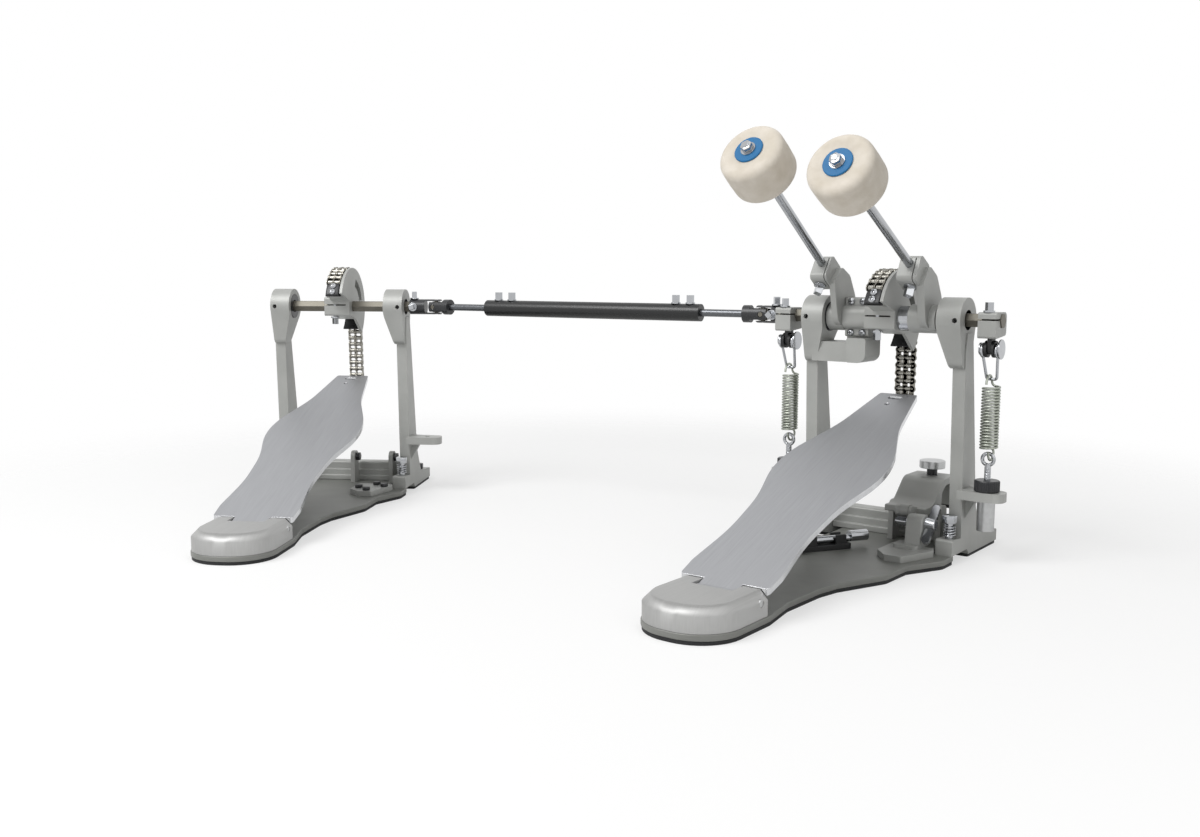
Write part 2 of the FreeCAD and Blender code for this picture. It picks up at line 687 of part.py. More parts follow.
def band(inner, outer, low, high):
    """Edges of a stretch of ring between two radii and two angles."""
    return [rim_arc(outer, low, high), Part.LineSegment(on_rim(outer, high), on_rim(inner, high)),
            rim_arc(inner, low, high), Part.LineSegment(on_rim(inner, low), on_rim(outer, low))]


def cam(name, frame):
    centre = S.axle_height
    back = [Vector(along, centre + up, 0) for along, up in CAM_BACK]
    sector = prism(name + "_sector", "YZ_Plane", closed([rim_arc(RIM_RAD, CASTING_LOW, RIM_HIGH)], back),
                   CAM_LEFT, CAM_RIGHT, "Sizes.cam_wide")
    wall_rad = S.chain_rad + S.flange_over
    wall = prism(name + "_wall", "YZ_Plane", closed([rim_arc(wall_rad, RIM_LOW + 2, RIM_HIGH - 2)], back),
                 CAM_RIGHT, FLANGE_RIGHT, "Sizes.flange_thick")
    hub = prism(name + "_hub", "YZ_Plane", rounded([
        (HUB_REAR, centre - HUB_HALF, 2), (HUB_FRONT, centre - HUB_HALF - 1, 5),
        (HUB_FRONT, centre + HUB_HALF, 5),
        (HUB_REAR, centre + HUB_HALF, 2),
    ]), HUB_LEFT, FLANGE_RIGHT)
    low, high = WINDOW_SPAN
    window = prism(name + "_window", "YZ_Plane", band(WINDOW_IN, WINDOW_OUT, low, high),
                   CAM_LEFT - 1, FLANGE_RIGHT + 1)
    slit = block(name + "_slit", (HUB_LEFT - 1, HUB_REAR - 1, centre + 1), (CAM_RIGHT - 1, -4, centre + 2.2))
    bolt = rod(name + "_bolt_hole", (HUB_BOLT_X, CLAMP_Y, centre - 11), (HUB_BOLT_X, CLAMP_Y, centre + 8),
               S.screw_rad + S.seat_gap)
    bore = hex_bore(name + "_bore", HUB_LEFT - 1, FLANGE_RIGHT + 1)
    solid = plus(name + "_casting", [sector, wall, hub])
    return node(name, minus(name, solid, [window, slit, bolt, bore]), frame)


def cam_lining(name, frame):
    """Rubber strip between the cam's rim and the chain, open at both ends."""
    edges = band(RIM_RAD + S.seat_gap, RIM_RAD + S.lining_thick, RIM_LOW, RIM_HIGH)
    return node(name, prism(name, "YZ_Plane", edges, CAM_LEFT, CAM_RIGHT, "Sizes.cam_wide"), frame)


for label, frame in (("main", MAIN), ("slave", SLAVE)):
    cam(label + "_cam", frame)
    cam_lining(label + "_cam_lining", frame)

LINK_STEP = S.pitch / S.chain_rad
LEAVE = math.radians(27.5)
CHAIN_LEAN = {"main": 0.0, "slave": math.radians(2.4)}
CAM_LINKS = 11
TOE_REST = {"main": 0.0, "slave": S.toe_low}
TAIL_LINKS = 4
TAIL_AHEAD = 1.5
TAIL_GAP = 0.6
TAIL_BELOW = S.board_thick + S.plate_tall / 2 + TAIL_GAP
TAIL_FIRST = Vector(0, TOE_Y + TAIL_AHEAD, board_top(TOE_Y + TAIL_AHEAD) - TAIL_BELOW)
LAST_RISE = 3.7
PLATE_REACH = S.plate_tall / 2
LINK_PIN_RAD = 1.0
RIVET_TALL = 0.3
CLIP_BACK = 13.0
CLIP_SCREW_X = -10.0
ACROSS = Vector(1, 0, 0)


def rim_point(angle):
    """A chain pin on the cam's rim, at an angle above the axle's level."""
    return Vector(0, S.chain_rad * math.cos(angle), S.axle_height + S.chain_rad * math.sin(angle))


def chain_point(steps, lean):
    """Where a chain pin lies, counted in pitches down from the hinge pin on the cam's rim."""
    angle = LEAVE - steps * LINK_STEP
    if angle >= lean:
        return rim_point(angle)
    down = Vector(0, math.sin(lean), -math.cos(lean))
    return rim_point(lean) + down * ((lean - angle) * S.chain_rad)


def run_links(label):
    """Whole links from the hinge pin on the cam down to just above the toe's first pin."""
    curve = S.chain_rad * (LEAVE - CHAIN_LEAN[label])
    drop = S.axle_height - (TAIL_FIRST.z - TOE_REST[label]) - LAST_RISE
    return int((curve + drop) / S.pitch)


def link_plate(start, end, low, high):
    """One link plate: a flat bar with bevelled ends round two pins."""
    along = (end - start).normalize()
    side = Vector(0, -along.z, along.y)
    half = S.plate_tall / 2
    nip = half * math.tan(math.pi / 8)
    corners = [
        start - along * PLATE_REACH + side * nip, start - along * nip + side * half,
        end + along * nip + side * half, end + along * PLATE_REACH + side * nip,
        end + along * PLATE_REACH - side * nip, end + along * nip - side * half,
        start - along * nip - side * half, start - along * PLATE_REACH - side * nip,
    ]
    shift = ACROSS * (S.chain_x + low)
    wire = Part.makePolygon([c + shift for c in corners + corners[:1]])
    return Part.Face(wire).extrude(ACROSS * (high - low))


def link_bar(pin, low, high, radius):
    """A round bar across the chain at one pin."""
    return Part.makeCylinder(radius, high - low, pin + ACROSS * (S.chain_x + low), ACROSS)


def pin_link(start, end, edge):
    """Outer link: two outer plates and a middle one, riveted on two pins."""
    thick = S.link_thick
    spans = [(-edge - S.run_gap - thick, -edge - S.run_gap), (-thick / 2, thick / 2),
             (edge + S.run_gap, edge + S.run_gap + thick)]
    plates = [link_plate(start, end, low, high) for low, high in spans]
    tip = edge + S.run_gap + thick + RIVET_TALL
    pins = [link_bar(pin, -tip, tip, LINK_PIN_RAD) for pin in (start, end)]
    return [plates[0].fuse(plates[1:] + pins)]


def roller_link(start, end, edge):
    """Inner link: in each of the two rows, a pair of plates on two rollers."""
    thick = S.link_thick
    near = thick / 2 + S.run_gap
    rows = []
    for low, high in ((-edge, -near), (near, edge)):
        plates = [link_plate(start, end, low, low + thick), link_plate(start, end, high - thick, high)]
        rollers = [link_bar(pin, low, high, S.roller_rad) for pin in (start, end)]
        bores = [link_bar(pin, low - 1, high + 1, LINK_PIN_RAD + S.run_gap) for pin in (start, end)]
        rows.append(plates[0].fuse(plates[1:] + rollers).cut(bores))
    return rows


def chain(pins, pin_first):
    """A duplex roller chain through a row of pins, of roller links and pin links by turns."""
    edge = S.row_pitch - S.link_thick / 2 - S.run_gap
    links = []
    for i, (start, end) in enumerate(zip(pins, pins[1:])):
        make = pin_link if (i % 2 == 0) == pin_first else roller_link
        links += make(start, end, edge)
    return Part.makeCompound(links)


for label, frame in (("main", MAIN), ("slave", SLAVE)):
    lean = CHAIN_LEAN[label]
    on_cam = [chain_point(-i, lean) for i in range(CAM_LINKS + 1)]
    run = [chain_point(i, lean) for i in range(run_links(label) + 1)]
    node(label + "_cam_chain", shaped(label + "_cam_chain", chain(on_cam, True)), frame)
    node(label + "_chain_run", shaped(label + "_chain_run", chain(run, False)), frame)


def chain_tail(name, frame):
    """Last links, turned under the toe and held there by a plate and its screw."""
    along = Vector(0, -1, -BOARD_SLOPE).normalize()
    pins = [TAIL_FIRST + along * (S.pitch * i) for i in range(TAIL_LINKS)]
    links = shaped(name + "_links", chain(pins, False))
    plate_y = TOE_Y - CLIP_BACK
    under_links = S.board_thick + S.plate_tall
    clip = board_side(name + "_clip", under_links + 2.6, under_links + 0.9, plate_y - 11, plate_y + 8,
                      S.toe_half - 3)
    screw_y = plate_y - 6
    screw_low = board_top(plate_y) - under_links - 4.6
    screw_high = board_top(screw_y) - 5.6
    screw = rod(name + "_screw", (CLIP_SCREW_X, screw_y, screw_low), (CLIP_SCREW_X, screw_y, screw_high),
                S.screw_rad)
    return node(name, group(name, [links, plus(name + "_plate", [clip, screw])]), frame)


chain_tail("main_toe_anchor", MAIN)
chain_tail("slave_toe_anchor", SLAVE_BOARD)


# Beaters: holder clamped on the axle, rod, felt and its discs

SOCKET_BACK = -20.0
SOCKET_UP = 40.0
SLIT_WIDE = 0.8
LEAN = {"right": 62.0, "left": 56.0}
COLLAR_RAD = 11.0
JAW_FOOT = -15.0
JAW_HEAD = 5.0
JAW_HIGH = 8.0
JAW_LOW = -13.5
JAW_BEND = 4.0
FELT_BEND = 5.0
FELT_SHORT = 7.0
FELT_DISC_RAD = 10.0
FELT_DISC_THICK = 1.2


def tilted(lean, along, across=0.0):
    """A point in a beater's plane, measured along its rod from the socket."""
    angle = math.radians(lean)
    return (SOCKET_BACK - along * math.sin(angle) + across * math.cos(angle),
            S.axle_height + SOCKET_UP + along * math.cos(angle) + across * math.sin(angle))


def beater(label, hub, plate, socket, slit_x):
    """One beater: its holder, rod, felt and discs, with its rod in the middle of the socket."""
    name = label + "_beater_holder"
    lean = LEAN[label]
    centre = S.axle_height
    rod_x = sum(socket) / 2
    collar = rod(name + "_collar", (hub[0], 0, centre), (hub[1], 0, centre), COLLAR_RAD)
    web = prism(name + "_web", "YZ_Plane", rounded([
        (13.5, centre - 10, 10), (17, centre + 13, 20), (4, centre + 33, 9), tilted(lean, -8, 5) + (4,),
        tilted(lean, -4, JAW_LOW + 1.5) + (4,), (-15, centre - 6, 12),
    ]), plate[0], plate[1])
    jaw_corners = ((JAW_FOOT, JAW_HIGH), (JAW_HEAD, JAW_HIGH), (JAW_HEAD, JAW_LOW), (JAW_FOOT, JAW_LOW))
    jaw = prism(name + "_jaw", "YZ_Plane", rounded([
        tilted(lean, along, across) + (JAW_BEND,) for along, across in jaw_corners
    ]), socket[0], socket[1])
    socket_bore = rod(name + "_socket", (rod_x,) + tilted(lean, -20), (rod_x,) + tilted(lean, 8),
                      S.rod_rad + S.seat_gap, "Sizes.rod_rad + Sizes.seat_gap")
    slit_corners = ((-10, JAW_LOW - 1), (JAW_HEAD + 1, JAW_LOW - 1), (JAW_HEAD + 1, 5), (-10, 5))
    slit = prism(name + "_slit", "YZ_Plane", rounded([
        tilted(lean, along, across) for along, across in slit_corners
    ]), slit_x, slit_x + SLIT_WIDE)
    bore = hex_bore(name + "_bore", hub[0] - 9, hub[1] + 9)
    node(name, minus(name, plus(name + "_casting", [collar, web, jaw]), [socket_bore, slit, bore]))
    top = S.beater_reach
    bar = rod(label + "_rod", (rod_x,) + tilted(lean, -14), (rod_x,) + tilted(lean, top), S.rod_rad,
              "Sizes.rod_rad")
    direction = Vector(0, -math.sin(math.radians(lean)), math.cos(math.radians(lean)))
    bore_rad = S.rod_rad + S.seat_gap
    base = top - FELT_SHORT - S.felt_long
    felt = turned(label + "_felt", [
        (bore_rad, 0), (S.felt_rad, 0, FELT_BEND), (S.felt_rad, S.felt_long, FELT_BEND),
        (bore_rad, S.felt_long),
    ], (rod_x,) + tilted(lean, base), direction)
    node(label + "_beater_felt", felt)
    disc = turned(label + "_disc", [
        (bore_rad, 0), (FELT_DISC_RAD, 0), (FELT_DISC_RAD, FELT_DISC_THICK, 1), (bore_rad, FELT_DISC_THICK),
    ], (rod_x,) + tilted(lean, base + S.felt_long), direction)
    lower = turned(label + "_lower_disc", [
        (bore_rad, -FELT_DISC_THICK), (FELT_DISC_RAD, -FELT_DISC_THICK, 1), (FELT_DISC_RAD, 0), (bore_rad, 0),
    ], (rod_x,) + tilted(lean, base), direction)
    node(label + "_beater_rod", group(label + "_rod_group", [bar, disc, lower]))


beater("right", hub=(22.0, 44.0), plate=(33.0, 39.0), socket=(20.0, 36.0), slit_x=32.2)
beater("left", hub=(-46.8, CAP_LEFT - 0.4), plate=(-38.6, -33.8), socket=(-52.0, -38.0), slit_x=-40.4)


# Spring levers, hangers, springs and the eye bolts that tension them

PIN_Z = S.axle_height - S.lever_drop
PIN_Y = -1.5
EYE_SPAN = 5.5
LEVER_TOP = 6.5
LEVER_REAR = -13.0
LEVER_FRONT = 9.5
LUG_HALF = 4.2
LUG_ROOT = 11.0
ROLLER_RAD = 6.4
ROLLER_WIDE = 2.2
CAP_THICK = 1.2
END_CAPS = ((-8.2, 4.8), (7.0, 7.5))


def lever(label, side):
    name = label + "_spring_lever"
    centre = S.axle_height
    near, far = sorted((side * S.lever_in, side * (S.lever_in + S.lever_wide)))
    middle = side * S.spring_x
    body = prism(name + "_block", "YZ_Plane", rounded([
        (LEVER_REAR, centre - 13, 2), (LEVER_FRONT, centre - LUG_ROOT, 3),
        (LEVER_FRONT, centre + LEVER_TOP, 4),
        (LEVER_REAR, centre + LEVER_TOP, 2),
    ]), near, far)
    lug = prism(name + "_lug", "YZ_Plane", rounded([
        (PIN_Y - LUG_HALF, PIN_Z - LUG_HALF, 4), (PIN_Y + LUG_HALF, PIN_Z - LUG_HALF, 4),
        (PIN_Y + 5, centre - LUG_ROOT), (PIN_Y - 5, centre - LUG_ROOT),
    ]), middle - 1.5, middle + 1.5)
    pin = rod(name + "_pin", (middle - 8, PIN_Y, PIN_Z), (middle + 8, PIN_Y, PIN_Z), S.screw_rad,
              "Sizes.screw_rad")
    caps = [rod(f"{name}_cap{i}", (middle + x, PIN_Y, PIN_Z), (middle + x + CAP_THICK, PIN_Y, PIN_Z), radius)
            for i, (x, radius) in enumerate(END_CAPS)]
    slit = block(name + "_slit", (near - 1, LEVER_REAR - 1, centre + 0.4), (far + 1, -4, centre + 1.6))
    bore = hex_bore(name + "_bore", near - 1, far + 1)
    casting = minus(name + "_clamp", plus(name + "_casting", [body, lug, pin] + caps), [slit, bore])
    rollers = [ring(f"{label}_roller{i}", (middle + x, PIN_Y, PIN_Z), (middle + x + ROLLER_WIDE, PIN_Y, PIN_Z),
                    S.screw_rad + S.seat_gap, ROLLER_RAD) for i, x in enumerate((-3.9, 1.7))]
    return node(name, group(name, [casting] + rollers))


lever("right", 1)
lever("left", -1)

BEND = 1.8
COIL_TURNS = round((PIN_Z - S.hanger_long - S.coil_foot) / S.coil_step)
COIL_TOP = S.coil_foot + COIL_TURNS * S.coil_step
LOOP_TOP = COIL_TOP + BEND + S.coil_rad
LOOP_LOW = S.coil_foot - BEND - S.coil_rad
HANGER_RAD = 1.1


def tangent_arc(start, heading, end):
    """The arc that leaves a point along a heading and ends at another point."""
    chord = end - start
    side = chord - heading * chord.dot(heading)
    if side.Length < 1e-7:
        return Part.LineSegment(start, end)
    side.normalize()
    radius = chord.Length ** 2 / (2 * chord.dot(side))
    centre = start + side * radius
    middle = centre + ((start - centre) + (end - centre)).normalize() * radius
    return Part.Arc(start, middle, end)


def biarc(start, heading, end, final):
    """Two arcs that join two points and are tangent to a heading at each."""
    chord = end - start
    total = heading + final
    bend = 2 * (1 - heading.dot(final))
    push = chord.dot(total)
    span = chord.dot(chord)
    if bend < 1e-9:
        reach = span / (2 * push)
    else:
        reach = (-push + math.sqrt(push * push + bend * span)) / bend
    join = (start + end) / 2 + (heading - final) * (reach / 2)
    first = tangent_arc(start, heading, join)
    second = tangent_arc(end, final * -1, join)
    middle = second.value((second.FirstParameter + second.LastParameter) / 2)
    return [first, Part.Arc(join, middle, end)]


def spring_path(coil_rad, step, turns, foot, loops):
    """Coil round the Z axis from half-turn biarcs, with a standing loop at each end if wanted."""
    climb = step / (2 * math.pi * coil_rad)

    def at(turn):
        angle = math.pi / 2 + 2 * math.pi * turn
        place = Vector(coil_rad * math.cos(angle), coil_rad * math.sin(angle), foot + step * turn)
        heading = Vector(-math.sin(angle), math.cos(angle), climb).normalize()
        return place, heading

    edges = []
    for half in range(int(round(turns * 2))):
        start, heading = at(half / 2)
        end, final = at((half + 1) / 2)
        edges += biarc(start, heading, end, final)
    if not loops:
        return edges
    up = Vector(0, 0, 1)
    top, heading = at(turns)
    rise = Vector(-BEND, coil_rad, top.z + BEND)
    crown = Vector(-BEND, 0, rise.z + coil_rad)
    over = Vector(-BEND, -coil_rad, rise.z)
    edges += biarc(top, heading, rise, up)
    edges += [tangent_arc(rise, up, crown), tangent_arc(crown, Vector(0, -1, 0), over)]
    low, heading = at(0)
    sink = Vector(BEND, coil_rad, low.z - BEND)
    base = Vector(BEND, 0, sink.z - coil_rad)
    back = Vector(BEND, -coil_rad, sink.z)
    lead = [tangent_arc(back, up * -1, base), tangent_arc(base, Vector(0, 1, 0), sink)]
    return lead + biarc(sink, up, low, heading) + edges


def wire_solid(edges, radius):
    """A round wire along a smooth path."""
    spine = Part.Wire([edge.toShape() for edge in edges])
    start = edges[0].value(edges[0].FirstParameter)
    heading = edges[0].tangent(edges[0].FirstParameter)[0]
    section = Part.Wire(Part.makeCircle(radius, start, heading))
    pipe = Part.BRepOffsetAPI.MakePipeShell(spine)
    pipe.add(section)
    pipe.build()
    pipe.makeSolid()
    return pipe.shape()


def least_gap(edges, radius):
    """Smallest clear distance between two stretches of a wire that aren't neighbours."""
    spine = Part.Wire([edge.toShape() for edge in edges])
    count = 1200
    points = spine.discretize(Number=count)
    step = spine.Length / (count - 1)
    skip = int(math.ceil(6 * radius / step)) + 1
    least = min(a.distanceToPoint(b) for i, a in enumerate(points) for b in points[i + skip:])
    return least - 2 * radius


main_coil = spring_path(S.coil_rad, S.coil_step, COIL_TURNS, S.coil_foot, True)
print("spring least gap", round(least_gap(main_coil, S.wire_rad), 3))
for label, side in (("right", 1), ("left", -1)):
    spring = shaped(label + "_spring", wire_solid(main_coil, S.wire_rad))
    spring.Placement = Placement(Vector(side * S.spring_x, S.spring_y, 0), Rotation())
    node(label + "_spring", spring)


SWING = math.radians(55.0)
LEVER_ARM = math.hypot(PIN_Y, S.lever_drop)
MID_SWING = math.atan2(-S.lever_drop, PIN_Y) - SWING / 2
EYE_SLACK = LEVER_ARM * (1 - math.cos(SWING / 2)) / 2
EYE_Y = PIN_Y + EYE_SLACK * math.cos(MID_SWING)
EYE_Z = PIN_Z + EYE_SLACK * math.sin(MID_SWING)


def hanger(label, side):
    """Wire stirrup: an eye over each end of the lever's pin, and a crook that lifts the spring."""
    name = label + "_spring_hanger"
    x = side * S.spring_x
    low = LOOP_TOP - S.wire_rad - HANGER_RAD - S.air_gap
    eye_mid = S.screw_rad + EYE_SLACK + HANGER_RAD * 1.15 + S.air_gap / 2
    start = EYE_Z - eye_mid + HANGER_RAD * 0.2
    crook = 3.8
    shift = (S.spring_y - EYE_Y)
    slant = Vector(EYE_SPAN - crook, -shift, start - low).normalize()
    points = [Vector(x - EYE_SPAN, EYE_Y, start), Vector(x - crook, S.spring_y, low),
              Vector(x + crook, S.spring_y, low), Vector(x + EYE_SPAN, EYE_Y, start)]
    trim = 1.8
    left_in = points[1] + Vector(-slant.x, slant.y, slant.z) * trim
    left_out = points[1] + Vector(trim, 0, 0)
    right_in = points[2] - Vector(trim, 0, 0)
    right_out = points[2] + slant * trim
    edges = [Part.LineSegment(points[0], left_in),
             tangent_arc(left_in, (points[1] - points[0]).normalize(), left_out),
             Part.LineSegment(left_out, right_in),
             tangent_arc(right_in, Vector(1, 0, 0), right_out),
             Part.LineSegment(right_out, points[3])]
    crook_wire = shaped(name + "_wire", wire_solid(edges, HANGER_RAD))
    eyes = []
    for i, offset in enumerate((-EYE_SPAN, EYE_SPAN)):
        eye = doc.addObject("Part::Torus", f"{name}_eye{i}")
        eye.Radius1 = eye_mid
        eye.Radius2 = HANGER_RAD * 1.15
        eye.Placement = Placement(Vector(x + offset, EYE_Y, EYE_Z),
                                  Rotation(Vector(0, 0, 1), Vector(1, 0, 0)))
        eyes.append(eye)
    return node(name, plus(name, [crook_wire] + eyes))


hanger("right", 1)
hanger("left", -1)

EYE_INNER = BEND + S.wire_rad + S.air_gap
EYE_WIRE = 1.4
NUT_TALL = 9.0
NUT_RAD = 9.5
SLEEVE_TALL = 23.0
SLEEVE_RAD = 6.6


def eye_bolt(label, side):
    """Eye bolt through the ledge, its knurled nut above and its sleeve nut below."""
    x = side * S.spring_x
    centre = LOOP_LOW + S.wire_rad + S.air_gap - math.sqrt(EYE_INNER ** 2 - (BEND + S.wire_rad) ** 2)
    eye = doc.addObject("Part::Torus", label + "_eye")
    eye.Radius1 = EYE_INNER + EYE_WIRE
    eye.Radius2 = EYE_WIRE
    eye.Placement = Placement(Vector(x, S.spring_y, centre), Rotation(Vector(0, 0, 1), Vector(0, 1, 0)))
    shank = rod(label + "_shank", (x, S.spring_y, S.ledge_top - S.ledge_thick - SLEEVE_TALL + 3),
                (x, S.spring_y, centre - EYE_INNER - 0.4), EYE_RAD)
    bolt = plus(label + "_eye_bolt", [eye, shank])
    nut_low = (x, S.spring_y, S.ledge_top)
    nut_high = (x, S.spring_y, S.ledge_top + NUT_TALL)
    nut = ring(label + "_nut", nut_low, nut_high, EYE_RAD + S.seat_gap, NUT_RAD)
    sleeve_high = (x, S.spring_y, S.ledge_top - S.ledge_thick)
    sleeve_low = (x, S.spring_y, S.ledge_top - S.ledge_thick - SLEEVE_TALL)
    sleeve = ring(label + "_sleeve", sleeve_low, sleeve_high, EYE_RAD + S.seat_gap, SLEEVE_RAD)
    return bolt, nut, sleeve


right_set = eye_bolt("right", 1)
left_set = eye_bolt("left", -1)
node("spring_eye_bolts", group("eye_bolt_group", [right_set[0], left_set[0], right_set[2], left_set[2]]))
node("spring_knurled_nuts", group("nut_group", [right_set[1], left_set[1]]))


# Drive shaft between the pedals, with a universal joint at each end

MAIN_JOINT = Vector(-S.joint_main, 0, S.axle_height)
SLAVE_JOINT = SLAVE.multVec(Vector(S.joint_slave, 0, S.axle_height))
SHAFT = (MAIN_JOINT - SLAVE_JOINT)
SHAFT_LONG = SHAFT.Length
SHAFT_DIR = Vector(SHAFT).normalize()
SHAFT_SIDE = Vector(-SHAFT_DIR.y, SHAFT_DIR.x, 0)
YOKE_BACK = 17.0
AXLE_YOKE_BACK = 26.0
YOKE_ROOT = 10.5
EAR_GAP = 5.7
EAR_REACH = 4.6
CROSS_RAD = 2.0
SPIDER_RAD = 3.9
PIN_SLACK = 0.45
BOLT_FLANGE_RAD = 4.2


def along_shaft(distance):
    return tuple(SLAVE_JOINT + SHAFT_DIR * distance)


def yoke(name, joint, heading, pin_axis, bore_rad, six_sided, slack, long=YOKE_BACK):
    """A fork whose stem comes along a heading to a joint, with a cross-pin hole in each ear."""
    back = tuple(joint - heading * long)
    body = rod(name + "_body", back, tuple(joint + heading * EAR_REACH), S.yoke_rad, "Sizes.yoke_rad")
    gap = doc.addObject("Part::Box", name + "_gap")
    gap.Length = YOKE_ROOT + EAR_REACH + 1
    gap.Width = 2 * S.yoke_rad + 2
    gap.Height = 2 * EAR_GAP
    across = pin_axis.cross(heading)
    turn = Rotation(heading, across, pin_axis, "ZXY")
    corner = joint - heading * YOKE_ROOT - across * (S.yoke_rad + 1) - pin_axis * EAR_GAP
    gap.Placement = Placement(corner, turn)
    span = S.yoke_rad + 1
    hole = rod(name + "_hole", tuple(joint - pin_axis * span), tuple(joint + pin_axis * span),
               CROSS_RAD + slack)
    socket_end = tuple(joint - heading * (YOKE_ROOT + 1.5))
    make = hexagon if six_sided else rod
    socket = make(name + "_socket", tuple(joint - heading * (long + 1)), socket_end, bore_rad + S.seat_gap)
    return minus(name, body, [gap, hole, socket])


SLAVE_HEADING = SLAVE.Rotation.multVec(Vector(1, 0, 0))
UP = Vector(0, 0, 1)
RIGHTWARD = Vector(1, 0, 0)
LOCAL_JOINT = Vector(S.joint_slave, 0, S.axle_height)
slave_fork = yoke("slave_fork", LOCAL_JOINT, RIGHTWARD, UP, HEX_RAD, True, S.run_gap, AXLE_YOKE_BACK)
node("slave_axle_yoke", slave_fork, SLAVE)
node("left_axle_yoke", yoke("left_axle_yoke", MAIN_JOINT, RIGHTWARD * -1, UP, HEX_RAD, True, S.run_gap))
drive_yokes = [
    yoke("near_slave_yoke", SLAVE_JOINT, SHAFT_DIR * -1, SHAFT_SIDE, S.drive_rad, False, PIN_SLACK),
    yoke("near_main_yoke", MAIN_JOINT, SHAFT_DIR, SHAFT_SIDE, S.drive_rad, False, PIN_SLACK),
]
node("drive_yokes", group("drive_yoke_group", drive_yokes))


def cross(name, joint):
    """The joint's spider: a small block with four pins."""
    reach = S.yoke_rad - 0.2
    half = EAR_GAP - 0.5
    core = rod(name + "_core", tuple(joint - UP * half), tuple(joint + UP * half), SPIDER_RAD)
    tall = rod(name + "_tall", tuple(joint - UP * reach), tuple(joint + UP * reach), CROSS_RAD)
    wide = rod(name + "_wide", tuple(joint - SHAFT_SIDE * reach), tuple(joint + SHAFT_SIDE * reach),
               CROSS_RAD)
    return node(name, plus(name, [core, tall, wide]))


cross("slave_joint_cross", SLAVE_JOINT)
cross("main_joint_cross", MAIN_JOINT)

TUBE_START = 61.2
TUBE_END = 284.5
ROD_INSET = YOKE_ROOT + 1.6
TUBE_DEEP = 48.0
node("drive_rods", group("drive_rod_group", [
    rod("slave_rod", along_shaft(ROD_INSET), along_shaft(TUBE_START + TUBE_DEEP), S.drive_rad,
        "Sizes.drive_rad"),
    rod("main_rod", along_shaft(TUBE_END - TUBE_DEEP), along_shaft(SHAFT_LONG - ROD_INSET), S.drive_rad,
        "Sizes.drive_rad"),
]))
BOLT_STATIONS = (73.7, 88.5, 260.1, 274.0)
TUBE_HEAD_HALF = 2.4
TUBE_HEAD_TOP = 7.5
tube_body = rod("tube_body", along_shaft(TUBE_START), along_shaft(TUBE_END), S.tube_rad, "Sizes.tube_rad")
tube_bore = rod("tube_bore", along_shaft(TUBE_START - 1), along_shaft(TUBE_END + 1), S.drive_rad + S.seat_gap,
                "Sizes.drive_rad + Sizes.seat_gap")
tube_holes = []
tube_bolts = []
for i, station in enumerate(BOLT_STATIONS):
    foot = Vector(*along_shaft(station))
    tip = tuple(foot + UP * (S.drive_rad + S.seat_gap))
    tube_holes.append(rod(f"tube_hole{i}", tip, tuple(foot + UP * (S.tube_rad + 1)),
                          S.screw_rad + S.seat_gap))
    shank = rod(f"tube_shank{i}", tip, tuple(foot + UP * (S.tube_rad + 2)), S.screw_rad, "Sizes.screw_rad")
    flange = rod(f"tube_flange{i}", tuple(foot + UP * S.tube_rad), tuple(foot + UP * (S.tube_rad + 1.2)),
                 BOLT_FLANGE_RAD)
    head = block(f"tube_head{i}", tuple(foot + Vector(-TUBE_HEAD_HALF, -TUBE_HEAD_HALF, S.tube_rad + 1)),
                 tuple(foot + Vector(TUBE_HEAD_HALF, TUBE_HEAD_HALF, S.tube_rad + TUBE_HEAD_TOP)))
    tube_bolts.append(plus(f"tube_bolt{i}", [shank, flange, head]))
node("drive_tube", minus("drive_tube", tube_body, [tube_bore] + tube_holes))
node("drive_bolts", group("drive_bolt_group", tube_bolts))


# Hoop clamp: bracket, rocker on its hinge, roller, wing bolt and thumb knob

CLAMP_TOP = PLATE_TOP + 5.0
WING_Y = -17.0
WING_Z = 30.0
HINGE_Y = 19.0
HINGE_Z = 33.0
HINGE_RAD = 3.0
TAIL_Y = -13.0
TAIL_Z = 38.0
KNOB_X = 24.0
KNOB_Y = 47.0
KNOB_RAD = 4.2
KNOB_HEAD = 10.3
KNOB_LOW = 5.2
KNOB_HIGH = 12.0
WING_TURN = -42.0
PLATEAU = 57.5
TAIL_EARS = ((20.5, 23.5), (31.4, 33.4))
TAIL_ROLLER = (23.8, 31.1)
TAIL_ROLLER_RAD = 4.6
NOSE_BOTTOM = 29.0
PAD_REAR = 71.7
PAD_FRONT = 76.8
PAD_BOTTOM = 26.0
LUG_OUT = 5.0
LUG_IN = 0.6


def clamp_plate(name):
    """Bevelled plate on the flare of the base, beside the right post's foot."""
    return prism(name, "XY_Plane", rounded([
        (20, S.foot_rear - 1.5), (20, S.foot_rear - 30), (31, S.foot_rear - 43, 2), (45, S.foot_rear - 43, 2),
        (56.5, S.foot_rear - 10), (53.5, S.foot_rear - 1.5),
    ]), PLATE_TOP, CLAMP_TOP)


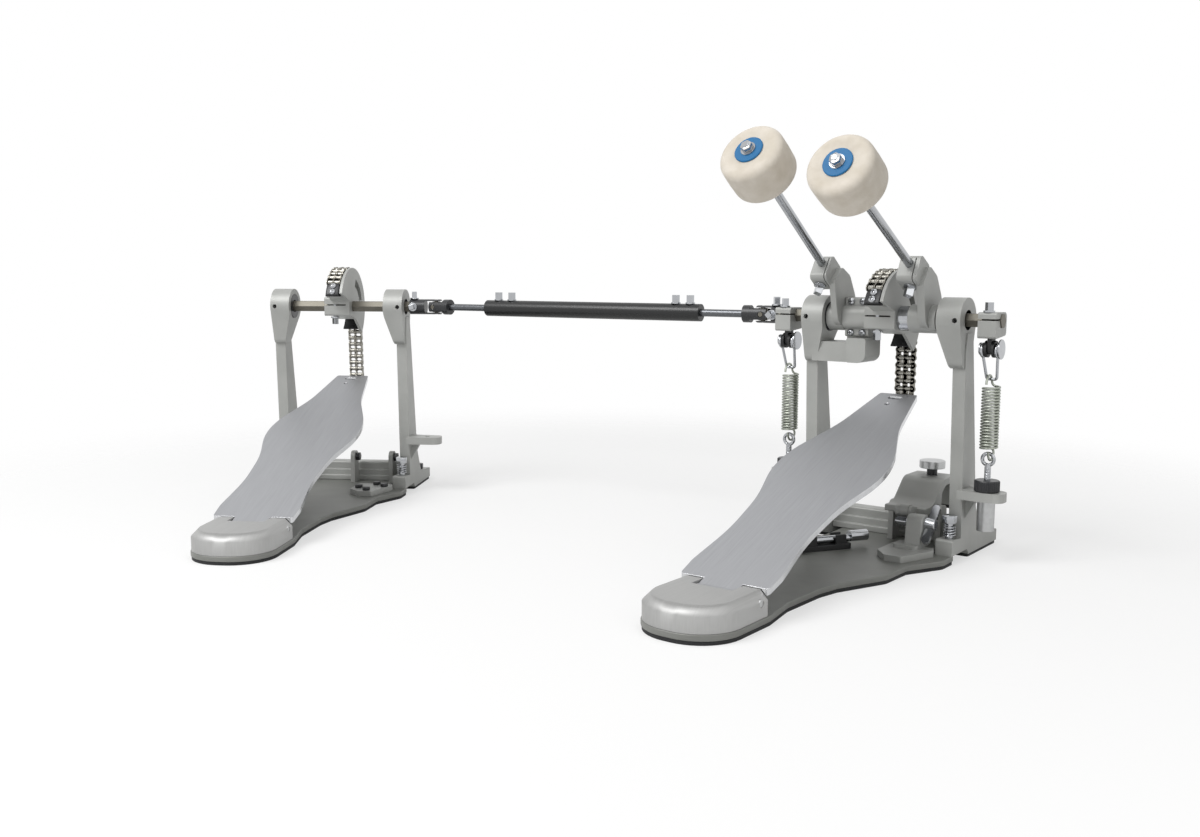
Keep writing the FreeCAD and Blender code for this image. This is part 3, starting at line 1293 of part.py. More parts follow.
def clamp_bracket(name):
    low = (S.rocker_right - 7, WING_Y - 12)
    high = (S.rocker_right + 5, WING_Y + 8)
    step = prism(name + "_step", "XY_Plane", rounded([
        (low[0] - 8, low[1] - 6, 4), (high[0] + 0.2, low[1] - 6, 4),
        (high[0] + 0.2, S.foot_rear - 2), (low[0] - 8, S.foot_rear - 2),
    ]), CLAMP_TOP - 1, CLAMP_TOP + 3)
    cheek = prism(name + "_cheek", "YZ_Plane", rounded([
        (low[1], CLAMP_TOP), (low[1] + 3, WING_Z + 7, 6), (high[1] - 2, WING_Z + 7, 6), (high[1], CLAMP_TOP),
    ]), low[0], high[0])
    bore = rod(name + "_bore", (low[0] - 1, WING_Y, WING_Z), (high[0] + 1, WING_Y, WING_Z),
               HINGE_RAD + S.run_gap)
    return minus(name, plus(name + "_casting", [clamp_plate(name + "_plate"), step, cheek]), [bore])


node("clamp_brackets", group("clamp_bracket_group", [
    clamp_bracket("main_clamp_bracket"), placed(clamp_plate("slave_clamp_plate"), SLAVE),
]))


def hinge_lug(name, low, high):
    return prism(name, "YZ_Plane", rounded([
        (HINGE_Y - 7, PLATE_TOP), (HINGE_Y - 6, HINGE_Z + 6, 5.5), (HINGE_Y + 6, HINGE_Z + 6, 5.5),
        (S.beam_rear - 0.05, PLATE_TOP),
    ]), low, high)


def lug_pair(name):
    """The two lugs on either side of the rocker."""
    return [hinge_lug(name + "_left", S.rocker_left - LUG_OUT, S.rocker_left - LUG_IN),
            hinge_lug(name + "_right", S.rocker_right + LUG_IN, S.rocker_right + LUG_OUT)]


hinge_bar = rod("clamp_hinge_bar", (S.rocker_left - LUG_OUT, HINGE_Y, HINGE_Z),
                (S.rocker_right + LUG_OUT, HINGE_Y, HINGE_Z), HINGE_RAD)
main_hinge = plus("main_hinge_bracket", lug_pair("lug") + [hinge_bar])
spare_lugs = [placed(lug, SLAVE) for lug in lug_pair("spare_lug")]
node("clamp_hinge_bracket", group("clamp_hinge_group", [main_hinge] + spare_lugs))


def rocker(name):
    """S-curved plate that turns on its hinge and presses the drum's hoop on to the lip."""
    bottom = PLATEAU - S.rocker_thick
    strip = prism(name + "_strip", "YZ_Plane", rounded([
        (-6, 34, 1), (-6, 39, 1), (9, 39, 20), (30, PLATEAU, 14), (61, PLATEAU, 10), (75.5, 45, 8),
        (77, NOSE_BOTTOM), (71.5, NOSE_BOTTOM), (70, 43, 6), (59, bottom, 7), (33, bottom, 12), (13, 34, 18),
    ]), S.rocker_left, S.rocker_right)
    web = prism(name + "_web", "YZ_Plane", rounded([
        (11.5, 35), (27, 48), (HINGE_Y + 6, HINGE_Z - 6, 5.5), (HINGE_Y - 6.5, HINGE_Z - 6, 5.5),
    ]), S.rocker_left, S.rocker_right)
    ears = []
    for i, (low, high) in enumerate(TAIL_EARS):
        ears.append(prism(f"{name}_ear{i}", "YZ_Plane", rounded([
            (-2, 34.4), (-2, 38.8), (TAIL_Y - 4.4, TAIL_Z + 4.4, 3), (TAIL_Y - 4.4, TAIL_Z - 4.4, 3),
        ]), low, high))
    pin = rod(name + "_roller_pin", (TAIL_EARS[0][0], TAIL_Y, TAIL_Z), (TAIL_EARS[1][1], TAIL_Y, TAIL_Z),
              S.screw_rad, "Sizes.screw_rad")
    hinge = rod(name + "_hinge", (S.rocker_left - 1, HINGE_Y, HINGE_Z), (S.rocker_right + 1, HINGE_Y, HINGE_Z),
                HINGE_RAD + S.run_gap)
    knob = rod(name + "_knob_hole", (KNOB_X, KNOB_Y, bottom - 1), (KNOB_X, KNOB_Y, PLATEAU + 1),
               KNOB_RAD + S.run_gap)
    plate = minus(name + "_plate", plus(name + "_casting", [strip, web, pin] + ears), [hinge, knob])
    roller = ring(name + "_roller", (TAIL_ROLLER[0], TAIL_Y, TAIL_Z), (TAIL_ROLLER[1], TAIL_Y, TAIL_Z),
                  S.screw_rad + S.seat_gap, TAIL_ROLLER_RAD)
    return node(name, group(name, [plate, roller]))


rocker("hoop_clamp_rocker")
PAD_TOP = NOSE_BOTTOM - 0.05
pad = prism("hoop_pad_body", "YZ_Plane", rounded([
    (PAD_REAR, PAD_BOTTOM), (PAD_FRONT, PAD_BOTTOM), (PAD_FRONT, PAD_TOP), (PAD_REAR, PAD_TOP),
]), S.rocker_left + 1, S.rocker_right - 1)
node("hoop_clamp_pad", pad)

WING_LEFT = S.rocker_right + LUG_OUT + LUG_IN
WING_REACH = 17.2
WING_HALF = 1.5


def wing_bolt(name):
    """Screw with two wings; its collar lifts the roller at the rocker's tail."""
    shank = rod(name + "_shank", (22, WING_Y, WING_Z), (WING_LEFT + 1, WING_Y, WING_Z), HINGE_RAD)
    collar = rod(name + "_collar", (TAIL_ROLLER[0], WING_Y, WING_Z), (TAIL_ROLLER[1], WING_Y, WING_Z),
                 HINGE_RAD + 0.9)
    hub = turned(name + "_hub", [(0, 0), (5.2, 0), (4.2, 7.5, 1), (0, 7.5)], (WING_LEFT, WING_Y, WING_Z),
                 (1, 0, 0))
    lower = [(WING_LEFT + 0.4, WING_Z - 5, 3), (WING_LEFT + 0.6, WING_Z - WING_REACH, 2.5),
             (WING_LEFT + 6.6, WING_Z - WING_REACH, 2.5), (WING_LEFT + 6.9, WING_Z - 6, 4)]
    upper = [(x, 2 * WING_Z - z, bend) for x, z, bend in reversed(lower)]
    wing = prism(name + "_wings", "XZ_Plane", rounded(lower + [(WING_LEFT + 5.4, WING_Z)] + upper),
                 WING_Y - WING_HALF, WING_Y + WING_HALF)
    wing.Placement = Placement(Vector(), Rotation(RIGHTWARD, WING_TURN), Vector(0, WING_Y, WING_Z))
    return node(name, plus(name, [shank, collar, hub, wing]))


wing_bolt("hoop_clamp_wing_bolt")
knob_head = turned("knob_head", [
    (0, KNOB_LOW), (KNOB_RAD, KNOB_LOW), (KNOB_HEAD, KNOB_LOW + 0.6, 0.5), (KNOB_HEAD, KNOB_HIGH, 0.8),
    (0, KNOB_HIGH),
], (KNOB_X, KNOB_Y, PLATEAU), (0, 0, 1))
knob_stem = rod("knob_stem", (KNOB_X, KNOB_Y, PLATEAU - 14), (KNOB_X, KNOB_Y, PLATEAU + 6), KNOB_RAD)
node("hoop_clamp_knob", plus("hoop_clamp_knob", [knob_head, knob_stem]))


# Floor spurs with their locking springs, drum key and its clip

SPUR_HEAD = 31.4
SPUR_HEAD_TALL = 6.0
SPUR_HEAD_RAD = 5.8
SPUR_TIP = 2.8
SPUR_WIRE = 0.6
SPUR_COIL = spring_path(4.3, 2.1, 4.5, S.foot_tall + 1.0, False)
print("spur spring least gap", round(least_gap(SPUR_COIL, SPUR_WIRE), 3))
spurs = []
for label, frame in (("main", MAIN), ("slave", SLAVE)):
    for side, word in ((-1, "left"), (1, "right")):
        name = f"{label}_{word}_spur"
        x = side * SPUR_X
        stem = turned(name + "_stem", [(0, 0), (SPUR_RAD, 4), (SPUR_RAD, SPUR_HEAD - 2), (0, SPUR_HEAD - 2)],
                      (x, SPUR_Y, SPUR_TIP), (0, 0, 1))
        head = hexagon(name + "_head", (x, SPUR_Y, SPUR_HEAD), (x, SPUR_Y, SPUR_HEAD + SPUR_HEAD_TALL),
                       SPUR_HEAD_RAD)
        spurs.append(placed(plus(name, [stem, head]), frame))
        coil = shaped(name + "_coil", wire_solid(SPUR_COIL, SPUR_WIRE))
        coil.Placement = Placement(Vector(x, SPUR_Y, 0), Rotation())
        spurs.append(placed(coil, frame))
node("floor_spurs", group("spur_group", spurs))

KEY_FRAME = Placement(Vector(-22, -53, PLATE_TOP), Rotation(UP, 57))
KEY_RAD = 3.0
KEY_SOCKET_RAD = KEY_RAD + 1.4
KEY_SQUARE = 2.0
CLIP_REAR = -26.0
CLIP_FRONT = 22.0
CLIP_HALF = 7.0
CLIP_BEND = 4.0
CLIP_THICK = 4.0
PRONG_PLACES = ((-18, -5.6), (-18, 3.4), (8, -5.6), (8, 3.4))
PRONG_SIZE = (9.0, 2.2, 8.5)
clip_base = prism("clip_base", "XY_Plane", rounded([
    (CLIP_REAR, -CLIP_HALF, CLIP_BEND), (CLIP_FRONT, -CLIP_HALF, CLIP_BEND),
    (CLIP_FRONT, CLIP_HALF, CLIP_BEND),
    (CLIP_REAR, CLIP_HALF, CLIP_BEND),
]), 0, CLIP_THICK)
clip_prongs = []
for i, (x, y) in enumerate(PRONG_PLACES):
    foot = Vector(x, y, CLIP_THICK - 1)
    clip_prongs.append(block(f"clip_prong{i}", tuple(foot), tuple(foot + Vector(*PRONG_SIZE))))
node("drum_key_clip", plus("drum_key_clip", [clip_base] + clip_prongs), KEY_FRAME)
key_z = CLIP_THICK + KEY_RAD + S.air_gap
socket_z = key_z + KEY_SOCKET_RAD - KEY_RAD
key_shank = rod("key_shank", (CLIP_REAR, 0, key_z), (30, 0, key_z), KEY_RAD)
key_socket = rod("key_socket", (22.5, 0, socket_z), (38, 0, socket_z), KEY_SOCKET_RAD)
key_bar = rod("key_bar", (CLIP_REAR - 2.5, -14, key_z), (CLIP_REAR - 2.5, 14, key_z), KEY_RAD)
key_mouth = block("key_mouth", (30, -KEY_SQUARE, socket_z - KEY_SQUARE),
                  (39, KEY_SQUARE, socket_z + KEY_SQUARE))
key_solid = plus("key_solid", [key_shank, key_socket, key_bar])
node("drum_key", minus("drum_key", key_solid, [key_mouth]), KEY_FRAME)


# Fasteners that show

KEY_HEAD_RAD = 3.3
KEY_HEAD_TALL = 6.2
KEY_FLANGE = 1.4
HOLDER_BOLT_X = {"right": 28.0, "left": -46.6}
HOLDER_BOLT_GROW = 1.17


def key_bolt(name, foot, direction, shank=0.0, grow=1.0):
    """Square-headed bolt with a flange, its face on a point, its shank behind that point."""
    way = Vector(*direction).normalize()
    base = Vector(*foot)
    flange = rod(name + "_flange", tuple(base), tuple(base + way * KEY_FLANGE), BOLT_FLANGE_RAD * grow)
    head = doc.addObject("Part::Prism", name + "_head")
    head.Polygon = 4
    head.Circumradius = KEY_HEAD_RAD * grow
    head.Height = KEY_HEAD_TALL * grow
    head.Placement = Placement(base + way * (KEY_FLANGE - 0.2), Rotation(UP, way))
    pieces = [flange, head]
    if shank:
        pieces.append(rod(name + "_shank", tuple(base - way * shank), tuple(base + way), S.screw_rad,
                          "Sizes.screw_rad"))
    return plus(name, pieces)


def holder_bolt(label):
    lean = LEAN[label]
    angle = math.radians(lean)
    foot = (HOLDER_BOLT_X[label],) + tilted(lean, -6, JAW_LOW - S.seat_gap)
    return key_bolt(label + "_holder_bolt", foot, (0, -math.cos(angle), -math.sin(angle)),
                    grow=HOLDER_BOLT_GROW)


def cam_bolt(name):
    return key_bolt(name, (HUB_BOLT_X, CLAMP_Y, S.axle_height - HUB_HALF - 0.9), (0, 0, -1), 12.0)


def lever_bolt(name, side):
    return key_bolt(name, (side * S.spring_x, CLAMP_Y, S.axle_height + LEVER_TOP + S.seat_gap), (0, 0, 1))


def yoke_bolts(name, joint, heading, long):
    place = joint - heading * (long - 4)
    sideways = UP.cross(heading)
    if sideways.y > 0:
        sideways = sideways * -1
    return [key_bolt(name + "_top", tuple(place + UP * (S.yoke_rad + S.seat_gap)), (0, 0, 1)),
            key_bolt(name + "_side", tuple(place + sideways * (S.yoke_rad + S.seat_gap)),
                     tuple(sideways))]


collar_nut = ring("collar_nut", (FLANGE_RIGHT + 0.2, 0, S.axle_height), (FLANGE_RIGHT + 8.8, 0, S.axle_height),
                  HEX_RAD + S.seat_gap, 9.6)
node("main_key_bolts", group("main_bolt_group", [
    cam_bolt("main_cam_bolt"), holder_bolt("right"), lever_bolt("right_lever_bolt", 1), collar_nut,
]))
node("left_key_bolts", group("left_bolt_group", [
    holder_bolt("left"), lever_bolt("left_lever_bolt", -1),
] + yoke_bolts("left_yoke_bolt", MAIN_JOINT, RIGHTWARD * -1, YOKE_BACK)))
node("slave_key_bolts", group("slave_bolt_group", [
    placed(cam_bolt("slave_cam_bolt"), SLAVE),
] + yoke_bolts("slave_yoke_bolt", SLAVE_JOINT, SLAVE_HEADING, AXLE_YOKE_BACK)))

SCREW_ROW = 12.4
SCREW_INSET = 5.0
FOOT_BOLT_Y = 60.0
FOOT_BOLT_RAD = 5.2
FOOT_BOLT_TALL = 5.5
LUG_BOLT_RAD = 4.4
PLATE_BOLTS = ((27, -41), (38, -53), (40, -24), (50, -33))
PLATE_BOLT_RAD = 3.8
PLATE_BOLT_TALL = 3.2
FOOT_FALL = (S.foot_tall - S.foot_low) / (S.foot_front - S.foot_rear)
screws = []
cap_columns = (CAP_LEFT + SCREW_INSET, CAP_RIGHT - SCREW_INSET)
for i, (x, z) in enumerate((x, z) for z in (SCREW_ROW, -SCREW_ROW) for x in cap_columns):
    screws.append(turned(f"cap_screw{i}", [(0, 0), (2.7, 0), (2.7, 1.4, 0.6), (0, 2.6)],
                         (x, -CAP_PLATE - S.seat_gap, S.axle_height + z), (0, -1, 0)))
for i, x in enumerate((S.rocker_left - LUG_IN, S.rocker_right + LUG_OUT)):
    lug_bolt = hexagon(f"lug_bolt{i}", (x + S.seat_gap, HINGE_Y, HINGE_Z), (x + 4, HINGE_Y, HINGE_Z),
                       LUG_BOLT_RAD)
    screws.append(placed(lug_bolt, SLAVE))
foot_top = S.foot_tall - FOOT_FALL * (FOOT_BOLT_Y - FOOT_BOLT_RAD - S.foot_rear) + S.seat_gap
for label, frame in (("main", MAIN), ("slave", SLAVE)):
    for side, word in ((-1, "left"), (1, "right")):
        x = side * (S.post_in + S.post_out) / 2
        foot_bolt = hexagon(f"{label}_{word}_foot_bolt", (x, FOOT_BOLT_Y, foot_top),
                            (x, FOOT_BOLT_Y, foot_top + FOOT_BOLT_TALL), FOOT_BOLT_RAD)
        screws.append(placed(foot_bolt, frame))
for i, (x, y) in enumerate(PLATE_BOLTS):
    plate_bolt = hexagon(f"plate_bolt{i}", (x, y, CLAMP_TOP), (x, y, CLAMP_TOP + PLATE_BOLT_TALL),
                         PLATE_BOLT_RAD)
    screws.append(placed(plate_bolt, SLAVE))
node("frame_screws", group("screw_group", screws))


# Check every piece, then write it

doc.recompute()
for item in doc.Objects:
    if "Invalid" in item.State or "Error" in item.State:
        raise RuntimeError(f"{item.Label} failed: {item.State}")
os.makedirs("parts", exist_ok=True)
for name, piece in NODES:
    shape = piece.Shape
    if shape.isNull() or not shape.isValid() or shape.Volume <= 0:
        raise RuntimeError(f"{name} has no valid shape")
    shape.exportStep(f"parts/{name}.step")
    print(f"{name}: {len(shape.Solids)} solids, {shape.Volume:.0f} mm3")
print(len(NODES), "nodes")
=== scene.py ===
# %% [markdown]
# # A double bass drum pedal
# Two pedals, a jointed shaft between them and two felt beaters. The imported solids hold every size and
# place, so this lesson only dresses them: it rounds their edges, gives each its finish, and models
# anew the pieces whose beauty is in the detail, such as felts, springs, chains and screws.

# %% Load the frame
import json
import math

import bmesh
import bpy
from mathutils import Matrix, Vector, noise


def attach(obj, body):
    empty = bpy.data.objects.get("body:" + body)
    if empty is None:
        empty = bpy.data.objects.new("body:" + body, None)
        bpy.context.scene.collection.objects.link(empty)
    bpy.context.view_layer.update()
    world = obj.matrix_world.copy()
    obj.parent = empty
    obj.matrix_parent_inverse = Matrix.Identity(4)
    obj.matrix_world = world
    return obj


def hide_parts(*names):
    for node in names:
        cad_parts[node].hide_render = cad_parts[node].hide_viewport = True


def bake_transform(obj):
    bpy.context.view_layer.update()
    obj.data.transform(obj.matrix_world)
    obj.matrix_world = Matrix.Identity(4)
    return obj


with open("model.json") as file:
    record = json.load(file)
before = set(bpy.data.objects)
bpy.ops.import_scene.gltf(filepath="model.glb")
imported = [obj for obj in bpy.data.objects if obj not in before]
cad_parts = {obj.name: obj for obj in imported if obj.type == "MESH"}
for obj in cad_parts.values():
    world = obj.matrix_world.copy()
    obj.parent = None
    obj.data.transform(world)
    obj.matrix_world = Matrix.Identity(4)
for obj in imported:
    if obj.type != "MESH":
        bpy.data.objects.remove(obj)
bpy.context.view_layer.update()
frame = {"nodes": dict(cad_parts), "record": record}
MM = 0.001

# %% [markdown]
# ## The camera
# The photograph was measured: its lens sees 1200 pixels with a focal length of 1167, from a low stand
# behind the player and to the right. A camera could be placed by eye, but rebuilding the measured view
# first means every later render can be laid beside the photograph.

# %% Camera
IMAGE_WIDE = 1200
FOCAL_PIXELS = 1167.25
SENSOR_MM = 36.0
VIEW_AZIMUTH = math.radians(37.67)
VIEW_HEIGHT = math.radians(7.26)
VIEW_ROLL = math.radians(0.19)
CAMERA_PLACE = Vector((386.79, -870.64, 223.82)) * MM

lens = bpy.data.cameras.new("photo_camera")
lens.sensor_width = SENSOR_MM
lens.lens = FOCAL_PIXELS / IMAGE_WIDE * SENSOR_MM
lens.clip_start = 0.01
camera = bpy.data.objects.new("photo_camera", lens)
bpy.context.scene.collection.objects.link(camera)
towards_camera = Vector((math.sin(VIEW_AZIMUTH) * math.cos(VIEW_HEIGHT),
                         -math.cos(VIEW_AZIMUTH) * math.cos(VIEW_HEIGHT), math.sin(VIEW_HEIGHT)))
level = (-towards_camera).to_track_quat("-Z", "Y").to_matrix().to_4x4()
camera.matrix_world = Matrix.Translation(CAMERA_PLACE) @ level @ Matrix.Rotation(VIEW_ROLL, 4, "Z")
bpy.context.scene.camera = camera
bpy.context.scene.view_settings.view_transform = "Standard"
print("lens:", round(lens.lens, 2), "mm")

# %% [markdown]
# ## Finishes
# One function adds a shader node, sets it and links it. Colours are written as the sRGB hex values that
# a colour picker shows and are turned to linear light once. No finish is one flat colour: each runs
# between two near tones, as a noise goes from the low part of its range to the high one.


# %% Colour and node helpers
TONE_STARTS = 0.3
TONE_ENDS = 0.7


def linear(code):
    """An sRGB hex colour as linear light with full alpha."""
    parts = [int(code[i:i + 2], 16) / 255 for i in (1, 3, 5)]
    return [c / 12.92 if c <= 0.04045 else ((c + 0.055) / 1.055) ** 2.4 for c in parts] + [1.0]


def add(tree, kind, inputs=None, **settings):
    """Add a shader node; an input is a value, or a (node, output name) pair to link."""
    made = tree.nodes.new(kind)
    for key, value in settings.items():
        setattr(made, key, value)
    for key, value in (inputs or {}).items():
        if isinstance(value, tuple) and isinstance(value[0], bpy.types.Node):
            tree.links.new(value[0].outputs[value[1]], made.inputs[key])
        else:
            made.inputs[key].default_value = value
    return made


def new_material(name):
    """A node material with its tree and its surface shader, ready for patterns."""
    material = bpy.data.materials.new(name)
    material.use_nodes = True
    tree = material.node_tree
    return material, tree, tree.nodes["Principled BSDF"]


def per_mm(size):
    """Texture scale that makes one feature about as wide as a size in millimetres."""
    return 1.0 / (size * MM)


def two_tones(tree, factor, low, high):
    """A colour between two tones, chosen by a factor socket."""
    ramp = add(tree, "ShaderNodeValToRGB", {"Fac": factor})
    ramp.color_ramp.elements[0].color = linear(low)
    ramp.color_ramp.elements[1].color = linear(high)
    ramp.color_ramp.elements[0].position = TONE_STARTS
    ramp.color_ramp.elements[1].position = TONE_ENDS
    return ramp


# %% [markdown]
# ### Painted castings
# The posts, cams, clamps and base are zinc and aluminium castings under a satin silver-grey powder
# paint. Powder flows into an orange peel a little under a millimetre wide, so a small noise drives the
# bump, and a broad faint one keeps the grey from looking flat. A little metallic stands for the
# aluminium flakes in the powder.


# %% Powder paint on castings
CLOUD_MM = 28.0
PEEL_STRENGTH = 0.16
PEEL_DEEP = 0.0002
FLAKE_METALLIC = 0.2
SATIN_ROUGHNESS = 0.46


def powder_paint(name, dark, light, peel_mm):
    """Satin paint with faint clouds in its grey and an orange peel on its skin."""
    material, tree, shader = new_material(name)
    place = add(tree, "ShaderNodeTexCoord")
    cloud = add(tree, "ShaderNodeTexNoise",
                {"Vector": (place, "Object"), "Scale": per_mm(CLOUD_MM), "Detail": 3.0})
    tone = two_tones(tree, (cloud, "Fac"), dark, light)
    peel = add(tree, "ShaderNodeTexNoise",
               {"Vector": (place, "Object"), "Scale": per_mm(peel_mm), "Detail": 2.0})
    bump = add(tree, "ShaderNodeBump",
               {"Height": (peel, "Fac"), "Strength": PEEL_STRENGTH, "Distance": PEEL_DEEP})
    tree.links.new(tone.outputs["Color"], shader.inputs["Base Color"])
    tree.links.new(bump.outputs["Normal"], shader.inputs["Normal"])
    shader.inputs["Metallic"].default_value = FLAKE_METALLIC
    shader.inputs["Roughness"].default_value = SATIN_ROUGHNESS
    return material


casting_paint = powder_paint("silver_grey_powder_paint", "#a0a19e", "#abaca9", peel_mm=0.7)
# The base plates wear the same paint as the castings; this darker copy of it is painted shade on the low
# base.
shaded_base_paint = powder_paint("shaded_base_powder_paint", "#747571", "#7e7f7b", peel_mm=0.8)
print("paints:", casting_paint.name, shaded_base_paint.name)

# %% [markdown]
# ### Brushed aluminium
# The footboards and heel blocks are aluminium plate, brushed along their length under a clear anodised
# skin. Brushing is many fine scratches one way: a noise squeezed hard across the grain and drawn out
# along it. Real scratches are finer than a pixel, so they are drawn 0.7 mm wide to show. Each pedal
# stands at its own angle, so the grain turns with it.


# %% Brushed aluminium
SLAVE_TURN = math.radians(32.0)
SCRATCH_MM = 0.7
SCRATCH_STRETCH = (1.0, 0.012, 0.05)
SCRATCH_DEEP = 0.0001
ANODISED_METALLIC = 0.85


def brushed_aluminium(name, turn, tones, rough, strength):
    """Anodised plate with its scratches along a pedal that is turned by an angle."""
    material, tree, shader = new_material(name)
    place = add(tree, "ShaderNodeTexCoord")
    along = add(tree, "ShaderNodeMapping", {"Vector": (place, "Object"), "Rotation": (0.0, 0.0, -turn)})
    drawn = add(tree, "ShaderNodeMapping", {"Vector": (along, "Vector"), "Scale": SCRATCH_STRETCH})
    grain = add(tree, "ShaderNodeTexNoise",
                {"Vector": (drawn, "Vector"), "Scale": per_mm(SCRATCH_MM), "Detail": 3.0, "Roughness": 0.6})
    tone = two_tones(tree, (grain, "Fac"), *tones)
    sheen = add(tree, "ShaderNodeMapRange",
                {"Value": (grain, "Fac"), "To Min": rough[0], "To Max": rough[1]})
    bump = add(tree, "ShaderNodeBump",
               {"Height": (grain, "Fac"), "Strength": strength, "Distance": SCRATCH_DEEP})
    tree.links.new(tone.outputs["Color"], shader.inputs["Base Color"])
    tree.links.new(sheen.outputs["Result"], shader.inputs["Roughness"])
    tree.links.new(bump.outputs["Normal"], shader.inputs["Normal"])
    shader.inputs["Metallic"].default_value = ANODISED_METALLIC
    return material


BOARD_LOOK = {"tones": ("#a0a1a4", "#aaabae"), "rough": (0.46, 0.56), "strength": 0.04}
HEEL_LOOK = {"tones": ("#a8a8a7", "#b0b0af"), "rough": (0.5, 0.6), "strength": 0.015}
main_brushed = brushed_aluminium("brushed_aluminium_main", 0.0, **BOARD_LOOK)
slave_brushed = brushed_aluminium("brushed_aluminium_slave", SLAVE_TURN, **BOARD_LOOK)
main_heel = brushed_aluminium("brushed_heel_main", 0.0, **HEEL_LOOK)
slave_heel = brushed_aluminium("brushed_heel_slave", SLAVE_TURN, **HEEL_LOOK)
print("brushed:", main_brushed.name, slave_brushed.name, main_heel.name, slave_heel.name)

# %% [markdown]
# ### Plated and bare steel
# Bolts, rods and hooks are nickel-chrome plate and mirror the room; chains and springs are duller, and
# the ground axles are duller still. They share one recipe: a metal whose colour and roughness waver a
# little, over a distance that suits how each was made.


# %% Steel finishes
def steel(name, dark, light, rough_low, rough_high, mottle_mm):
    """A metal whose tone and roughness waver together."""
    material, tree, shader = new_material(name)
    place = add(tree, "ShaderNodeTexCoord")
    mottle = add(tree, "ShaderNodeTexNoise",
                 {"Vector": (place, "Object"), "Scale": per_mm(mottle_mm), "Detail": 3.0})
    tone = two_tones(tree, (mottle, "Fac"), dark, light)
    rough = add(tree, "ShaderNodeMapRange",
                {"Value": (mottle, "Fac"), "To Min": rough_low, "To Max": rough_high})
    tree.links.new(tone.outputs["Color"], shader.inputs["Base Color"])
    tree.links.new(rough.outputs["Result"], shader.inputs["Roughness"])
    shader.inputs["Metallic"].default_value = 1.0
    return material


chrome_plate = steel("bright_chrome_plate", "#a9abae", "#b6b8bb", 0.12, 0.18, mottle_mm=14.0)
chain_plate = steel("nickel_chain_plate", "#7b7871", "#99968d", 0.24, 0.36, mottle_mm=1.2)
roller_steel = steel("polished_chain_roller", "#94928b", "#a5a39c", 0.2, 0.28, mottle_mm=1.2)
satin_steel = steel("satin_turned_steel", "#b0b1b1", "#bcbdbd", 0.3, 0.4, mottle_mm=4.0)
spring_wire = steel("zinc_spring_wire", "#90948b", "#b2b6ac", 0.34, 0.46, mottle_mm=2.0)
axle_steel = steel("ground_axle_steel", "#6a675f", "#75726a", 0.46, 0.56, mottle_mm=8.0)
# The plate edges' lighter tone is partly polish and partly a painted highlight.
polished_edge_highlight = steel("polished_plate_edge_highlight", "#c4c5c7", "#d0d1d3", 0.2, 0.28, mottle_mm=6.0)
dark_steel = steel("dark_drive_rod", "#5b5d60", "#6c6e71", 0.26, 0.4, mottle_mm=2.0)
print("steels end with", dark_steel.name)

# %% [markdown]
# ### Black parts and blue nylon
# The drive tube is black anodised, the joints are black oxide, and mats and linings are moulded rubber.
# Black is never fully black: each keeps a dark grey and its own gloss, with a grain bump. The discs that
# clamp the felts are bright blue nylon, moulded too, so they share the recipe.


# %% Moulded and blackened finishes
GRAIN_DEEP = 0.0002


def grained(name, dark, light, roughness, grain_mm, strength):
    """A moulded or blackened skin with a fine grain and one gloss."""
    material, tree, shader = new_material(name)
    place = add(tree, "ShaderNodeTexCoord")
    grain = add(tree, "ShaderNodeTexNoise",
                {"Vector": (place, "Object"), "Scale": per_mm(grain_mm), "Detail": 3.0})
    tone = two_tones(tree, (grain, "Fac"), dark, light)
    bump = add(tree, "ShaderNodeBump",
               {"Height": (grain, "Fac"), "Strength": strength, "Distance": GRAIN_DEEP})
    tree.links.new(tone.outputs["Color"], shader.inputs["Base Color"])
    tree.links.new(bump.outputs["Normal"], shader.inputs["Normal"])
    shader.inputs["Roughness"].default_value = roughness
    return material


black_rubber = grained("moulded_black_rubber", "#161718", "#202122", 0.75, grain_mm=0.8, strength=0.25)
black_anodised = grained("black_anodised_tube", "#0d0e0f", "#141516", 0.34, grain_mm=0.6, strength=0.06)
black_oxide = grained("black_oxide_steel", "#1b1c1e", "#2a2b2e", 0.36, grain_mm=0.9, strength=0.12)
black_nylon = grained("black_nylon_clip", "#141516", "#1d1e1f", 0.5, grain_mm=1.0, strength=0.15)
blue_nylon = grained("blue_nylon_disc", "#006196", "#03699f", 0.55, grain_mm=0.9, strength=0.1)
print("grained finishes end with", blue_nylon.name)

# %% [markdown]
# ### Wool felt
# The beaters are pressed wool felt, creamy and matt, with loose fibres that catch light at the edge: a
# sheen, a fine fibre noise and a soft blotch. One fibre is far thinner than a pixel, so the bump shows
# tufts of them, 0.6 mm wide.


# %% Wool felt
BLOTCH_MM = 11.0
TUFT_MM = 0.6
TUFT_STRENGTH = 0.28
TUFT_DEEP = 0.0003


def wool_felt(name, dark, light):
    """Matt wool with soft blotches, tufts and a sheen of loose fibres."""
    material, tree, shader = new_material(name)
    place = add(tree, "ShaderNodeTexCoord")
    blotch = add(tree, "ShaderNodeTexNoise",
                 {"Vector": (place, "Object"), "Scale": per_mm(BLOTCH_MM), "Detail": 4.0})
    tone = two_tones(tree, (blotch, "Fac"), dark, light)
    tuft = add(tree, "ShaderNodeTexNoise",
               {"Vector": (place, "Object"), "Scale": per_mm(TUFT_MM), "Detail": 6.0, "Roughness": 0.75})
    bump = add(tree, "ShaderNodeBump",
               {"Height": (tuft, "Fac"), "Strength": TUFT_STRENGTH, "Distance": TUFT_DEEP})
    tree.links.new(tone.outputs["Color"], shader.inputs["Base Color"])
    tree.links.new(bump.outputs["Normal"], shader.inputs["Normal"])
    shader.inputs["Roughness"].default_value = 0.95
    shader.inputs["Sheen Weight"].default_value = 0.2
    shader.inputs["Sheen Roughness"].default_value = 0.6
    return material


cream_felt = wool_felt("pressed_wool_felt", "#cdc4b5", "#ddd5c9")
print("finishes:", len(bpy.data.materials))

